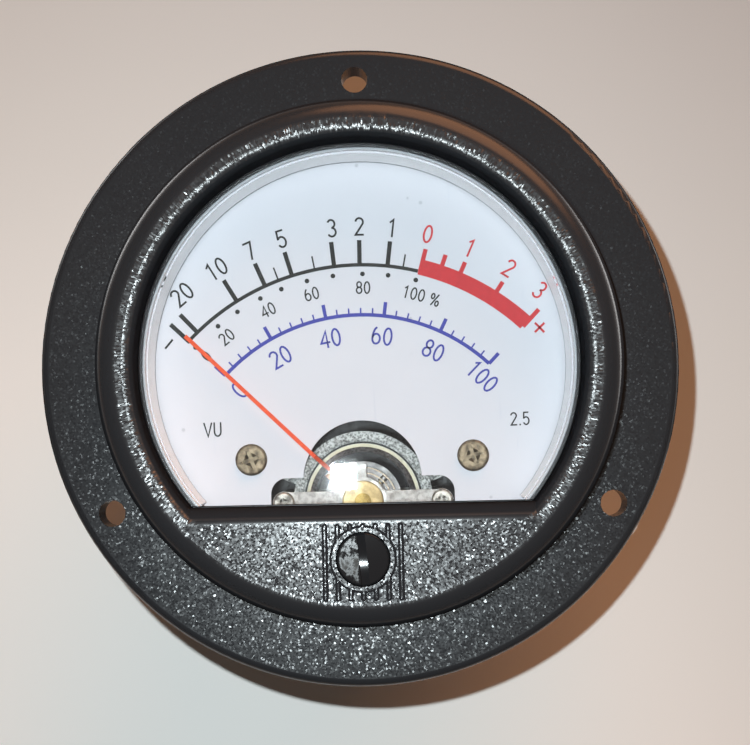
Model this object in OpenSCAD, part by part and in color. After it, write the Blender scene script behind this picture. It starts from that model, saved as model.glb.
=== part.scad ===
// Round moving-coil panel meter with a VU scale, a zero adjuster and two rear terminals.
// Every piece is drawn in the meter's own axes: x to the right, y up, z towards the reader,
// with z = 0 on the panel seat behind the flange. seated() then stands the meter upright,
// so that its dial faces -Y and its top points along +Z.

/* [Flange and bezel] */
// Outside diameter of the flange
flange_d = 80; // [79:0.5:84]
// Thickness of the flange
flange_t = 4.5; // [4.2:0.1:4.8]
// Rounding of the flange's front edge
flange_round = 1; // [0.5:0.1:1.5]
// Diameter of a mounting hole
hole_d = 3.3; // [3:0.1:3.6]
// Number of mounting holes
hole_count = 3; // [3:1:3]
// Radius of the bezel at the flange
bezel_r = 32; // [31.8:0.1:32.1]
// Height of the bezel's face above the panel seat
face_z = 13; // [12.8:0.1:14]
// Outer rounding of the bezel
bezel_round = 2.8; // [2.4:0.1:2.9]
// Radius of the window opening
opening_r = 27.1; // [26.9:0.1:27.2]
// Rounding of the opening's round edge
opening_round = 1.3; // [1:0.1:1.4]
// Distance of the sill below the meter's axis
sill_drop = 17.4; // [17.2:0.1:17.6]
// Rounding of the sill's edge
sill_round = 2; // [1.6:0.1:2.1]
// Height of the lip that holds the window, above the flange
lip_rise = 2.6; // [2.4:0.1:2.8]
// Wall thickness of the mouldings
wall = 2; // [1.8:0.1:2.1]

/* [Chin] */
// Distance of the zero adjuster below the meter's axis
adjuster_drop = 23.7; // [23.5:0.1:23.8]
// Radius of the adjuster's head
adjuster_r = 3.2; // [3:0.1:3.3]
// Width of the collar round the adjuster
collar_w = 0.7; // [0.5:0.1:0.8]
// Number of ribs on the chin
rib_count = 7; // [5:2:7]
// Distance between two ribs
rib_pitch = 1.5; // [1.3:0.1:1.5]
// Width of a rib
rib_w = 0.6; // [0.4:0.1:0.7]
// Height of the ribs and the collar
rib_h = 0.35; // [0.2:0.05:0.5]

/* [Case] */
// Diameter of the case behind the panel
case_d = 64.5; // [64.3:0.1:64.8]
// Depth of the case behind the panel
case_depth = 30; // [29:0.5:34]
// Distance between the two terminals
terminal_pitch = 26; // [24:0.5:28]
// Height of the terminals above the meter's axis
terminal_rise = 4; // [3:0.5:6]
// Radius of a terminal stud
stud_r = 2; // [1.8:0.1:2]
// Length of a stud outside the case
stud_len = 14; // [12:0.5:18]

/* [Dial] */
// Radius of the dial plate
dial_r = 27.6; // [27.4:0.1:27.8]
// Thickness of the dial plate
dial_t = 0.5; // [0.4:0.05:0.5]
// Thickness of the printed scale
ink_t = 0.05; // [0.04:0.01:0.08]
// Radius of the arch cut in the dial
arch_r = 7.5; // [7.4:0.1:7.6]
// Height of the arch's centre above the pivot
arch_rise = 2.7; // [2.5:0.1:2.8]
// Half width of the cut-out at its lobes
lobe_half = 11.6; // [11.5:0.1:11.8]
// Height of the lobes above the pivot
lobe_rise = 3.1; // [2.9:0.1:3.3]
// Turn of the printed scales about the pivot, top to the left
print_turn = 1.4; // [0:0.1:2]

/* [Movement] */
// Distance of the pivot below the meter's axis
pivot_drop = 17.2; // [17.1:0.05:17.3]
// Reach of the pointer from the pivot
pointer_len = 30.6; // [30:0.1:30.9]
// Width of the pointer
pointer_w = 0.5; // [0.4:0.05:0.6]
// Angle of the pointer from upright at rest, to the left
rest_angle = 46; // [45:0.5:47]
// Radius of the core magnet
core_r = 5; // [4.9:0.05:5]
// Inside radius of the yoke ring
gap_r = 6.25; // [6.25:0.05:6.35]
// Outside radius of the yoke ring
yoke_r = 7.56; // [7.5:0.02:7.6]
// Outside radius of the movement frame's ring
frame_r = 8.9; // [8.8:0.1:9]
// Throw of the zero adjuster's eccentric pin
pin_throw = 1; // [0.8:0.05:1]

/* [Hidden] */
$fn = 96;
eps = 0.01;
// Clearances: a shaft in its bore, a screw core in its hole, a seat between loose pieces
run_gap = 0.05;
screw_gap = 0.05;
seat_gap = 0.1;

flange_r = flange_d / 2;
// The mounting holes lie midway between the bezel and the flange's edge
hole_circle_r = (flange_r + bezel_r) / 2;
// Step behind the flange that the case's front edge enters
rebate = 0.5;
lip_z = flange_t + lip_rise;
crest_r = opening_r + opening_round;
window_rim_t = 1.5;
window_rim_r = crest_r - 0.35;
cavity_r = window_rim_r + seat_gap;
window_t = 2;
window_z = lip_z + window_t;
skirt_t = 0.8;
skirt_r = opening_r - seat_gap;
skirt_z = 1;
sill_wall = 2.2;
rim_drop = sill_drop + sill_wall - 0.2;

boss_r = adjuster_r + 1;
boss_z = 6;
head_t = 1.55;
head_z = face_z + rib_h - 0.15;
seat_z = head_z - head_t - run_gap;
neck_r = 2;
latch_r = 2.5;
latch_t = 0.7;
latch_z = boss_z - seat_gap;
pin_r = 0.5;
pin_tip_z = 0.1;
slot_w = 1;
slot_depth = 1;

case_r = case_d / 2;
case_in_r = case_r - wall;
// Stepped front rim of the case, which starts just behind the flange
case_rim_r = case_r - 0.4;
rim_base = 0.3;
floor_z = wall - case_depth;
back_round = 0.7;
spigot_h = 2;
spigot_r = case_in_r - seat_gap;
post_r = 2.6;
post_circle = case_in_r - 0.85;
post_angles = [30, 150, 270];
case_screw_r = 0.95;
case_screw_head_r = 1.9;
case_screw_head_t = 1.6;
case_screw_depth = 12;
case_screw_grip = 3.8;

pad_r = 5.2;
pad_t = 0.8;
pad_z = -case_depth - pad_t;
tag_t = 0.4;
washer_t = 0.5;
nut_t = 2.4;
hex_r = 4.04;
washer_r = 4.4;
tag_r = 3.8;
tag_half_w = 1.1;
tag_hole_r = 0.5;
// Where nuts grip it a stud is drawn at its thread's mid-depth, and its free end at the crests
stud_grip_r = 0.9 * stud_r;
nut_bore_r = stud_grip_r + 0.02;
stud_chamfer = 0.5;
tag_len = 8;

dial_chord_drop = 3.5;
pillar_x = 14;
pillar_y = 5.5;
pillar_r = 2;
foot_x = 13;
foot_y = -5;
foot_r = 3;
foot_z = [-12, -9];
frame_z = [-13.5, -2];
arm_band = [-8, -4];
arm_w = 2.2;
dial_screw_r = 0.95;
dial_screw_len = 5;
dial_head_r = 2;
dial_head_t = 0.9;
frame_screw_r = 1;
frame_screw_len = 8;
frame_head_r = 2.1;
frame_head_t = 1.4;

bridge_x = 10;
bridge_end_r = 1.4;
bridge_half = 1.3;
bridge_boss_r = 2;
bridge_t = 0.8;
front_bridge_z = -0.4;
rear_bridge_z = -16.2;
bridge_screw_r = 0.8;
bridge_screw_len = 4;
bridge_head_r = 1.35;

yoke_z = [-12, -2.4];
yoke_chamfer = 0.65;
core_z = [-11.6, -3.6];
support_half = 1.15;
support_reach = gap_r + yoke_chamfer;

coil_half_w = 1;
coil_gap = 0.32;
former_t = 0.15;
winding_t = 0.35;
coil_z = [-12.5, -2.7];
coil_y = core_r + coil_gap + former_t + winding_t;
hub_r = 0.5;
base_r = 0.9;
base_t = 0.35;
hub_top = -1.6;
needle_r = 0.2;
needle_tip = -0.2;
cross_t = 0.25;
cross_z = coil_z[1] + base_t;
cross_ring_r = 0.95;
cross_arm_w = 0.35;
cross_reach = 4.1;
weight_r = 0.45;
weight_len = 0.9;
pointer_t = 0.25;
pointer_z = cross_z + cross_t;
blade_z = 1.8;
crank_y = [5.2, 8.4];

jewel_r = 0.5;
jewel_t = 0.5;
jewel_hole_r = needle_r + run_gap;
jewel_screw_r = 0.9;
jewel_screw_z = -0.55;
jewel_head_r = 1.05;
jewel_head_t = 0.4;
jewel_slot_w = 0.3;
lock_nut_r = 2.6;
lock_nut_t = 0.68;
bush_flange_t = 0.2;
bush_r = 1.4;
arm_t = 0.4;
arm_z = front_bridge_z + bridge_t + bush_flange_t + 0.02;
bush_top = arm_z + arm_t + 0.03;
arm_hub_r = 3;
arm_leg_w = 1.6;
fork_w = 3.2;
fork_gap = 0.14;
tab_y = 4.3;
tab_w = 0.9;

collet_r = 0.75;
collet_t = 0.4;
collet_z = -1.35;
spring_start_r = 0.8;
spring_turns = 5;
spring_t = 0.1;
spring_w = 0.3;
spring_step = (tab_y - spring_t / 2 - spring_start_r) / spring_turns / 2;
// Heights at which the rear half of the movement mirrors the front half
mirror_sum = coil_z[0] + coil_z[1];
lead_r = 0.3;

// Graduations: angles from upright, positive to the right
black_major = [-45, -42, -29.8, -22, -15, -4.5, 1.7, 8.5];
black_minor = [-18.5, -9.3, 12.3];
red_major = [16, 20.6, 25.2, 34.6, 44.6];
percent_dots = [-45, -37.2, -31.1, -24.4, -18.6, -11.8, -5.1, 2.4, 8.9, 16];
scale_r = 29.8;
major_len = 3.4;
minor_len = 2;
major_w = 0.56;
minor_w = 0.2;
line_w = 0.45;
red_w = 2;
dot_r = 0.3;
dot_circle = 28.85;
blue_r = 23.4;
blue_half = 45.15;
blue_majors = 5;
blue_minors = 25;
blue_major_len = 2;
blue_minor_len = 1.1;

// ---------------------------------------------------------------- shared shapes

// Stands the meter upright with its dial facing -Y
module seated() {
    rotate([90, 0, 0])
        children();
}

// Moves a piece of the movement from the origin to the pivot
module at_pivot() {
    translate([0, -pivot_drop, 0])
        children();
}

// Turns a piece of the moving coil to where the pointer rests
module at_rest() {
    at_pivot()
        rotate([0, 0, rest_angle])
            children();
}

// Extrudes an outline drawn in (y, z) along x, centred on x = 0
module along_x(width) {
    rotate([90, 0, 90])
        linear_extrude(height = width, center = true)
            children();
}

// Disc of height h whose top edge has rounding e
module rounded_disc(r, h, e) {
    rotate_extrude() {
        square([r, h - e]);
        square([r - e, h]);
        translate([r - e, h - e])
            circle(e);
    }
}

module ring(r_out, r_in, h) {
    difference() {
        cylinder(r = r_out, h = h);
        translate([0, 0, -eps])
            cylinder(r = r_in, h = h + 2 * eps);
    }
}

// Box from low corner to high corner
module span(low, high) {
    translate(low)
        cube(high - low);
}

// Keeps what lies above y = -drop
module above(drop) {
    intersection() {
        children();
        span([-60, -drop, -60], [60, 60, 60]);
    }
}

// Point at t of the curve that leaves c[0] towards c[1] and comes to c[3] from c[2]
function bend_point(c, t) =
    c[0] * pow(1 - t, 3) + 3 * c[1] * t * pow(1 - t, 2) + 3 * c[2] * t * t * (1 - t) + c[3] * pow(t, 3);

function unit(v) = v / norm(v);

// Round wire of radius r along that curve, as rings of points joined by triangles
module bent_wire(c, r) {
    steps = 16;
    sides = 8;
    path = [for (i = [0 : steps]) bend_point(c, i / steps)];
    rings = [
        for (i = [0 : steps])
            let (
                along = unit(path[min(i + 1, steps)] - path[max(i - 1, 0)]),
                side = unit(cross(along, [0, 0.3, 1])),
                up = cross(along, side)
            )
            for (k = [0 : sides - 1])
                path[i] + r * (cos(360 * k / sides) * side + sin(360 * k / sides) * up)
    ];
    walls = [
        for (i = [0 : steps - 1], k = [0 : sides - 1])
            let (a = i * sides + k, b = i * sides + (k + 1) % sides)
            each [[a, a + sides, b], [b, a + sides, b + sides]]
    ];
    near = [for (k = [0 : sides - 1]) k];
    far = [for (k = [0 : sides - 1]) (steps + 1) * sides - 1 - k];
    polyhedron(rings, concat(walls, [near, far]));
}

// Pan head with a cross recess on a plain core, seated at z = 0 with the core below
module cross_screw(head_r, head_h, core_r, core_len) {
    recess = head_r * 0.62;
    difference() {
        union() {
            rounded_disc(head_r, head_h, head_h * 0.45);
            translate([0, 0, -core_len])
                cylinder(r = core_r, h = core_len + eps);
        }
        for (turn = [0, 90])
            rotate([0, 0, turn])
                span([-recess, -head_r * 0.13, head_h * 0.35], [recess, head_r * 0.13, head_h + 1]);
        translate([0, 0, head_h * 0.35])
            cylinder(r1 = head_r * 0.2, r2 = head_r * 0.42, h = head_h * 0.66);
    }
}

// Section of an opening of half width w whose mouth at height h flares with rounding r
module flared_section(w, h, r, back) {
    translate([-back, 0])
        square([w + back, h + 1]);
    difference() {
        translate([-back, h - r])
            square([w + back + r, r + 1]);
        translate([w + r, h - r])
            circle(r);
    }
}

// ---------------------------------------------------------------- cover and window

// D-shaped opening: a round flared hole met by a straight flared sill, mitred at the corners
module window_opening() {
    depth = face_z - lip_z;
    translate([0, 0, lip_z])
        intersection() {
            rotate_extrude()
                flared_section(opening_r, depth, opening_round, 0);
            rotate([90, 0, -90])
                linear_extrude(height = 2 * flange_d, center = true)
                    flared_section(sill_drop, depth, sill_round, 40);
        }
}

module chin_ribs() {
    top = sill_drop + sill_round + 0.6;
    bottom = crest_r - 0.1;
    for (i = [0 : rib_count - 1])
        translate([(i - (rib_count - 1) / 2) * rib_pitch, 0, face_z - eps]) {
            span([-rib_w / 2, -bottom, 0], [rib_w / 2, -top, rib_h + eps]);
            for (y = [top, bottom])
                translate([0, -y, 0])
                    cylinder(r = rib_w / 2, h = rib_h + eps, $fn = 24);
        }
}

module cover_outside() {
    rounded_disc(flange_r, flange_t, flange_round);
    rounded_disc(bezel_r, face_z, bezel_round);
    translate([0, 0, -spigot_h])
        cylinder(r = spigot_r, h = spigot_h + eps);
    chin_ribs();
    translate([0, -adjuster_drop, face_z - eps])
        cylinder(r = adjuster_r + run_gap + collar_w, h = rib_h + eps);
}

// Room behind the chin's face, inside its walls
module chin_room() {
    intersection() {
        translate([0, 0, lip_z - eps])
            cylinder(r = crest_r, h = face_z - wall - lip_z + eps);
        span([-60, -60, 0], [60, -sill_drop - sill_wall, 20]);
    }
}

module mounting_holes() {
    for (i = [0 : hole_count - 1])
        rotate([0, 0, 90 + i * 360 / hole_count])
            translate([hole_circle_r, 0, -eps])
                cylinder(r = hole_d / 2, h = flange_t + 1);
}

module front_cover() {
    color("#1b1b1e")
        seated()
            difference() {
                union() {
                    difference() {
                        cover_outside();
                        translate([0, 0, -spigot_h - eps])
                            cylinder(r = cavity_r, h = lip_z + spigot_h + eps);
                        translate([0, 0, -1])
                            ring(case_r + seat_gap, spigot_r, rebate + 1);
                        chin_room();
                        window_opening();
                    }
                    translate([0, -adjuster_drop, boss_z])
                        cylinder(r = boss_r, h = face_z - wall - boss_z + eps);
                }
                mounting_holes();
                translate([0, -adjuster_drop, boss_z - eps])
                    cylinder(r = neck_r + run_gap, h = face_z);
                translate([0, -adjuster_drop, seat_z])
                    cylinder(r = adjuster_r + run_gap, h = face_z);
                for (a = post_angles)
                    rotate([0, 0, a])
                        translate([post_circle, 0, -spigot_h - eps]) {
                            cylinder(r = post_r + 0.2, h = spigot_h + eps);
                            cylinder(r = case_screw_r + screw_gap, h = spigot_h + case_screw_grip + 0.3);
                        }
            }
}

module window() {
    color("#dfe6ee", 0.35)
        seated() {
            above(sill_drop - seat_gap)
                translate([0, 0, lip_z - eps])
                    cylinder(r = opening_r - seat_gap, h = window_t + eps);
            above(rim_drop)
                translate([0, 0, lip_z - window_rim_t])
                    cylinder(r = window_rim_r, h = window_rim_t);
            above(sill_drop)
                translate([0, 0, skirt_z])
                    ring(skirt_r, skirt_r - skirt_t, lip_z - window_rim_t - skirt_z + eps);
        }
}

// ---------------------------------------------------------------- zero adjuster

module zero_adjust_screw() {
    color("#101012")
        seated()
            translate([0, -adjuster_drop, 0]) {
                difference() {
                    translate([0, 0, head_z - head_t])
                        rounded_disc(adjuster_r, head_t, 0.35);
                    rotate([0, 0, 5])
                        span([-slot_w / 2, -5, head_z - slot_depth], [slot_w / 2, 5, head_z + 1]);
                }
                translate([0, 0, latch_z - eps])
                    cylinder(r = neck_r, h = head_z - head_t - latch_z + 2 * eps);
                translate([0, 0, latch_z - latch_t])
                    cylinder(r = latch_r, h = latch_t);
                translate([0, -pin_throw, pin_tip_z])
                    cylinder(r = pin_r, h = latch_z - latch_t - pin_tip_z + eps);
            }
}

// Flat outline of the zero arm: hub, leg, open fork below and tail above
module zero_arm_outline() {
    drop = adjuster_drop - pivot_drop;
    slot_half = pin_r + fork_gap;
    difference() {
        union() {
            circle(arm_hub_r);
            translate([-arm_leg_w / 2, -drop])
                square([arm_leg_w, drop]);
            translate([-fork_w / 2, -drop - pin_throw - 1.2])
                square([fork_w, 2.6 + pin_throw]);
            translate([-tab_w / 2, 0])
                square([tab_w, tab_y + arm_t]);
        }
        circle(bush_r + run_gap);
        translate([-slot_half, -drop - pin_throw - 3])
            square([2 * slot_half, 3.8 + pin_throw]);
    }
}

module zero_arm() {
    color("#c9c6bd")
        seated()
            at_pivot() {
                translate([0, 0, arm_z])
                    linear_extrude(height = arm_t)
                        zero_arm_outline();
                span([-tab_w / 2, tab_y, collet_z], [tab_w / 2, tab_y + arm_t, arm_z + eps]);
            }
}

module zero_arm_bush() {
    color("#c8a24a")
        seated()
            at_pivot()
                translate([0, 0, front_bridge_z + bridge_t])
                    difference() {
                        union() {
                            cylinder(r = arm_hub_r - 0.4, h = bush_flange_t);
                            cylinder(r = bush_r, h = bush_top - front_bridge_z - bridge_t);
                        }
                        translate([0, 0, -eps])
                            cylinder(r = jewel_screw_r + 0.02, h = 3);
                    }
}

// ---------------------------------------------------------------- case and terminals

module at_posts() {
    for (a = post_angles)
        rotate([0, 0, a])
            translate([post_circle, 0, 0])
                children();
}

// Places a piece at both of x and -x
module both_sides(x, y) {
    for (side = [-1, 1])
        translate([side * x, y, 0])
            children();
}

module at_terminals() {
    both_sides(terminal_pitch / 2, terminal_rise)
        children();
}

// Raised minus and plus signs beside the terminals
module polarity_signs() {
    arm = 1.6;
    half = 0.3;
    for (side = [-1, 1])
        translate([side * terminal_pitch / 2, terminal_rise + pad_r + 3, -case_depth - 0.4]) {
            span([-arm, -half, 0], [arm, half, 0.4 + eps]);
            if (side > 0)
                span([-half, -arm, 0], [half, arm, 0.4 + eps]);
        }
}

module rear_case() {
    color("#1d1d20")
        seated()
            difference() {
                union() {
                    difference() {
                        translate([0, 0, -rim_base])
                            mirror([0, 0, 1])
                                rounded_disc(case_r, case_depth - rim_base, back_round);
                        translate([0, 0, -rim_base - eps])
                            cylinder(r = case_rim_r, h = rebate + rim_base + eps);
                        translate([0, 0, floor_z])
                            cylinder(r = case_in_r, h = case_depth);
                    }
                    intersection() {
                        at_posts()
                            translate([0, 0, -case_depth + 1])
                                cylinder(r = post_r, h = case_depth - 1);
                        translate([0, 0, -case_depth])
                            cylinder(r = case_r - 0.5, h = case_depth);
                    }
                    at_pivot() {
                        both_sides(pillar_x, pillar_y)
                            translate([0, 0, floor_z - eps])
                                cylinder(r = pillar_r + 0.6, h = arm_band[0] - 0.5 - floor_z + eps);
                        both_sides(foot_x, foot_y)
                            translate([0, 0, floor_z - eps])
                                cylinder(r = foot_r, h = foot_z[0] - floor_z + eps);
                    }
                    at_terminals()
                        translate([0, 0, pad_z])
                            cylinder(r = pad_r, h = pad_t + eps);
                    polarity_signs();
                }
                at_posts() {
                    translate([0, 0, -case_depth - 1])
                        cylinder(r = case_screw_head_r + 0.2, h = case_depth - case_screw_depth + 1);
                    translate([0, 0, -case_depth])
                        cylinder(r = case_screw_r + 0.3, h = case_depth + 1);
                }
                at_pivot()
                    both_sides(foot_x, foot_y)
                        translate([0, 0, foot_z[0] - frame_screw_len])
                            cylinder(r = frame_screw_r + screw_gap, h = frame_screw_len + 1);
                at_terminals()
                    translate([0, 0, pad_z - 1])
                        cylinder(r = stud_grip_r + seat_gap, h = 8);
            }
}

module case_screws() {
    color("#b9b6ae")
        seated()
            at_posts()
                translate([0, 0, -case_screw_depth])
                    mirror([0, 0, 1])
                        cross_screw(case_screw_head_r, case_screw_head_t, case_screw_r,
                                    case_screw_depth + case_screw_grip);
}

module terminal_studs() {
    root_z = floor_z + tag_t;
    free_z = wire_nut_z() - 0.2;
    tip_z = pad_z - stud_len;
    color("#caa655")
        seated()
            at_terminals() {
                translate([0, 0, root_z])
                    cylinder(r = hex_r, h = nut_t, $fn = 6);
                translate([0, 0, free_z - eps])
                    cylinder(r = stud_grip_r, h = root_z - free_z + 2 * eps);
                translate([0, 0, tip_z + stud_chamfer])
                    cylinder(r = stud_r, h = free_z - tip_z - stud_chamfer);
                translate([0, 0, tip_z])
                    cylinder(r1 = stud_r - stud_chamfer, r2 = stud_r, h = stud_chamfer + eps);
            }
}

module hex_nut() {
    difference() {
        cylinder(r = hex_r, h = nut_t, $fn = 6);
        translate([0, 0, -eps])
            cylinder(r = nut_bore_r, h = nut_t + 1);
    }
}

module terminal_washers() {
    color("#c9b27a")
        seated()
            at_terminals()
                for (z = [pad_z - washer_t, tag_z() - washer_t])
                    translate([0, 0, z])
                        ring(washer_r, nut_bore_r, washer_t);
}

module terminal_clamp_nuts() {
    color("#c9a557")
        seated()
            at_terminals()
                translate([0, 0, pad_z - washer_t - nut_t])
                    hex_nut();
}

// Height of the rear face of the outer solder tags
function tag_z() = pad_z - washer_t - nut_t - tag_t;

// Height of the rear face of the outer nuts
function wire_nut_z() = tag_z() - washer_t - nut_t;

module terminal_wire_nuts() {
    color("#c9a557")
        seated()
            at_terminals()
                translate([0, 0, wire_nut_z()])
                    hex_nut();
}

// Ring tag with a narrow tongue along -y and a wire hole near its tip
module solder_tag() {
    linear_extrude(height = tag_t)
        difference() {
            union() {
                circle(tag_r);
                translate([-tag_half_w, -tag_len])
                    square([2 * tag_half_w, tag_len]);
                translate([0, -tag_len])
                    circle(tag_half_w);
            }
            circle(nut_bore_r);
            translate([0, -tag_len])
                circle(tag_hole_r);
        }
}

module outer_solder_tags() {
    color("#cfcabb")
        seated()
            at_terminals()
                translate([0, 0, tag_z()])
                    rotate([0, 0, 180])
                        solder_tag();
}

module inner_solder_tags() {
    color("#cfcabb")
        seated()
            at_terminals()
                translate([0, 0, floor_z])
                    solder_tag();
}

module frame_lead() {
    start = [-terminal_pitch / 2, terminal_rise - tag_len, floor_z + tag_t + lead_r];
    finish = [-foot_x - 2.3, foot_y - pivot_drop, foot_z[1] + lead_r];
    color("#2b2b30")
        seated()
            bent_wire([start, start + [-9, -4, 9], finish + [-6, 4, 2], finish], lead_r);
}

module spring_lead() {
    start = [terminal_pitch / 2, terminal_rise - tag_len, floor_z + tag_t + lead_r];
    finish = [0, -pivot_drop - tab_y, rear_arm_z() - lead_r];
    color("#9d2a25")
        seated()
            bent_wire([start, start + [-4, -5, 6], finish + [7, -2, -5], finish], lead_r);
}

// ---------------------------------------------------------------- dial

module cut_out() {
    corner = 2;
    low = -12;
    translate([0, arch_rise])
        circle(arch_r);
    translate([-arch_r, low])
        square([2 * arch_r, arch_rise - low]);
    translate([-lobe_half, low])
        square([2 * lobe_half, lobe_rise - corner - low]);
    translate([corner - lobe_half, low])
        square([2 * (lobe_half - corner), lobe_rise - low]);
    for (side = [-1, 1])
        translate([side * (lobe_half - corner), lobe_rise - corner])
            circle(corner);
}

module dial_plate() {
    color("#e3e7f2")
        seated()
            linear_extrude(height = dial_t)
                difference() {
                    circle(dial_r);
                    translate([-dial_r, -2 * dial_r - pivot_drop - dial_chord_drop])
                        square([2 * dial_r, 2 * dial_r]);
                    translate([0, -pivot_drop]) {
                        cut_out();
                        for (side = [-1, 1])
                            translate([side * pillar_x, pillar_y])
                                circle(dial_screw_r + 0.15);
                    }
                }
}

// Part of a ring between two angles from upright, positive to the right
module arc_band(r_in, width, from, to) {
    far = 90;
    intersection() {
        difference() {
            circle(r_in + width);
            circle(r_in);
        }
        polygon([
            [0, 0],
            [far * sin(from), far * cos(from)],
            [far * sin((from + to) / 2), far * cos((from + to) / 2)],
            [far * sin(to), far * cos(to)]
        ]);
    }
}

// Tick that starts inside its arc, so that the two run into each other
module tick(angle, r_in, length, width) {
    start = line_w / 2;
    rotate(-angle)
        translate([-width / 2, r_in + start])
            square([width, length - start]);
}

module printed() {
    seated()
        at_pivot()
            translate([0, 0, dial_t])
                rotate([0, 0, print_turn])
                    linear_extrude(height = ink_t)
                        children();
}

module black_scale_print() {
    color("#2a2d2a")
        printed() {
            arc_band(scale_r, line_w, black_major[0] - 0.5, red_major[0]);
            for (a = black_major)
                tick(a, scale_r, major_len, major_w);
            for (a = black_minor)
                tick(a, scale_r, minor_len, minor_w);
            for (a = percent_dots)
                rotate(-a)
                    translate([0, dot_circle])
                        circle(dot_r, $fn = 24);
        }
}

module red_scale_print() {
    last = red_major[len(red_major) - 1];
    color("#e05054")
        printed() {
            arc_band(scale_r - 0.2, red_w, red_major[0] + 0.05, last + 0.4);
            for (a = red_major)
                tick(a + 0.55, scale_r, major_len - 0.2, major_w);
        }
}

module blue_scale_print() {
    color("#585ab4")
        printed() {
            arc_band(blue_r, line_w, -blue_half, blue_half);
            for (i = [0 : blue_majors])
                tick(blue_half * (2 * i / blue_majors - 1), blue_r, blue_major_len, line_w);
            for (i = [0 : blue_minors])
                if (i % (blue_minors / blue_majors) != 0)
                    tick(blue_half * (2 * i / blue_minors - 1), blue_r, blue_minor_len, minor_w);
        }
}

module dial_screws() {
    color("#c4beb0")
        seated()
            at_pivot()
                both_sides(pillar_x, pillar_y)
                    translate([0, 0, dial_t])
                        rotate([0, 0, 20])
                            cross_screw(dial_head_r, dial_head_t, dial_screw_r, dial_screw_len);
}

// ---------------------------------------------------------------- fixed movement

// Arm of the frame's ring out to a point, between two heights
module frame_arm(x, y, z) {
    rotate([0, 0, atan2(y, x)])
        span([yoke_r + 0.8, -arm_w / 2, z[0]], [norm([x, y]) - 0.3, arm_w / 2, z[1]]);
}

// Upright round bar whose start line is turned away from the arms that meet it
module post(r, low, high, turn = 90) {
    translate([0, 0, low])
        rotate([0, 0, turn])
            cylinder(r = r, h = high - low);
}

module frame_outside() {
    post(frame_r, frame_z[0], frame_z[1], 50);
    for (side = [-1, 1]) {
        frame_arm(side * bridge_x, 0, [frame_z[0] + 0.5, frame_z[1] - 1.5]);
        frame_arm(side * pillar_x, pillar_y, arm_band);
        frame_arm(side * foot_x, foot_y, [foot_z[0] + 0.5, foot_z[1] - 0.5]);
    }
    both_sides(bridge_x, 0)
        post(bridge_end_r, rear_bridge_z + bridge_t, front_bridge_z);
    both_sides(pillar_x, pillar_y)
        post(pillar_r, arm_band[0] - 0.5, 0);
    both_sides(foot_x, foot_y)
        post(foot_r, foot_z[0], foot_z[1]);
}

module movement_frame() {
    front_bore_r = yoke_r + 0.24;
    front_step = 1;
    color("#a9a9ab")
        seated()
            at_pivot()
                difference() {
                    frame_outside();
                    post(yoke_r + 0.02, frame_z[0] - 1, frame_z[1] + 1, 50);
                    post(front_bore_r, frame_z[1] - front_step, frame_z[1] + 1, 50);
                    both_sides(bridge_x, 0) {
                        post(bridge_screw_r + screw_gap, front_bridge_z - bridge_screw_len - 0.2, 1);
                        post(bridge_screw_r + screw_gap, rear_bridge_z,
                             rear_bridge_z + bridge_t + bridge_screw_len + 0.2);
                    }
                    both_sides(pillar_x, pillar_y)
                        post(dial_screw_r + screw_gap, dial_t - dial_screw_len - 0.3, 1);
                    both_sides(foot_x, foot_y)
                        post(frame_screw_r + 0.2, foot_z[0] - 1, foot_z[1] + 1);
                }
}

module frame_screws() {
    color("#b9b6ae")
        seated()
            at_pivot()
                both_sides(foot_x, foot_y)
                    translate([0, 0, foot_z[1]])
                        cross_screw(frame_head_r, frame_head_t, frame_screw_r,
                                    foot_z[1] - foot_z[0] + frame_screw_len - 0.3);
}

module yoke_shape() {
    rotate_extrude()
        polygon([
            [gap_r, yoke_z[0]],
            [yoke_r, yoke_z[0]],
            [yoke_r, yoke_z[1]],
            [gap_r + yoke_chamfer, yoke_z[1]],
            [gap_r, yoke_z[1] - yoke_chamfer]
        ]);
}

module yoke_ring() {
    color("#d8d2be")
        seated()
            at_pivot()
                yoke_shape();
}

module core_magnet() {
    color("#b4b6b8")
        seated()
            at_pivot()
                difference() {
                    translate([0, 0, core_z[0]])
                        cylinder(r = core_r, h = core_z[1] - core_z[0]);
                    translate([0, 0, core_z[1] - 0.3])
                        ring(core_r - 0.5, core_r - 0.7, 1);
                }
}

module core_supports() {
    color("#7f8183")
        seated()
            at_pivot()
                difference() {
                    for (side = [0, 180])
                        rotate([0, 0, side])
                            span([core_r - 1, -support_half, core_z[0]],
                                 [support_reach, support_half, yoke_z[1]]);
                    translate([0, 0, -30])
                        cylinder(r = core_r, h = 60);
                    yoke_shape();
                    translate([0, 0, -30])
                        ring(20, gap_r + 0.001, 30 + yoke_z[1] - yoke_chamfer);
                }
}

// Strip with round ends on the two pillars and a boss for the jewel screw
module bridge() {
    difference() {
        union() {
            span([-bridge_x, -bridge_half, 0], [bridge_x, bridge_half, bridge_t]);
            cylinder(r = bridge_boss_r, h = bridge_t);
            both_sides(bridge_x, 0)
                cylinder(r = bridge_end_r, h = bridge_t);
        }
        translate([0, 0, -1])
            cylinder(r = jewel_screw_r + 0.02, h = 5);
        both_sides(bridge_x, 0)
            translate([0, 0, -1])
                cylinder(r = bridge_screw_r + screw_gap, h = 5);
    }
}

module front_bridge() {
    color("#c4c4c0")
        seated()
            at_pivot()
                translate([0, 0, front_bridge_z])
                    bridge();
}

module rear_bridge() {
    color("#c4c4c0")
        seated()
            at_pivot()
                translate([0, 0, rear_bridge_z])
                    bridge();
}

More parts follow.
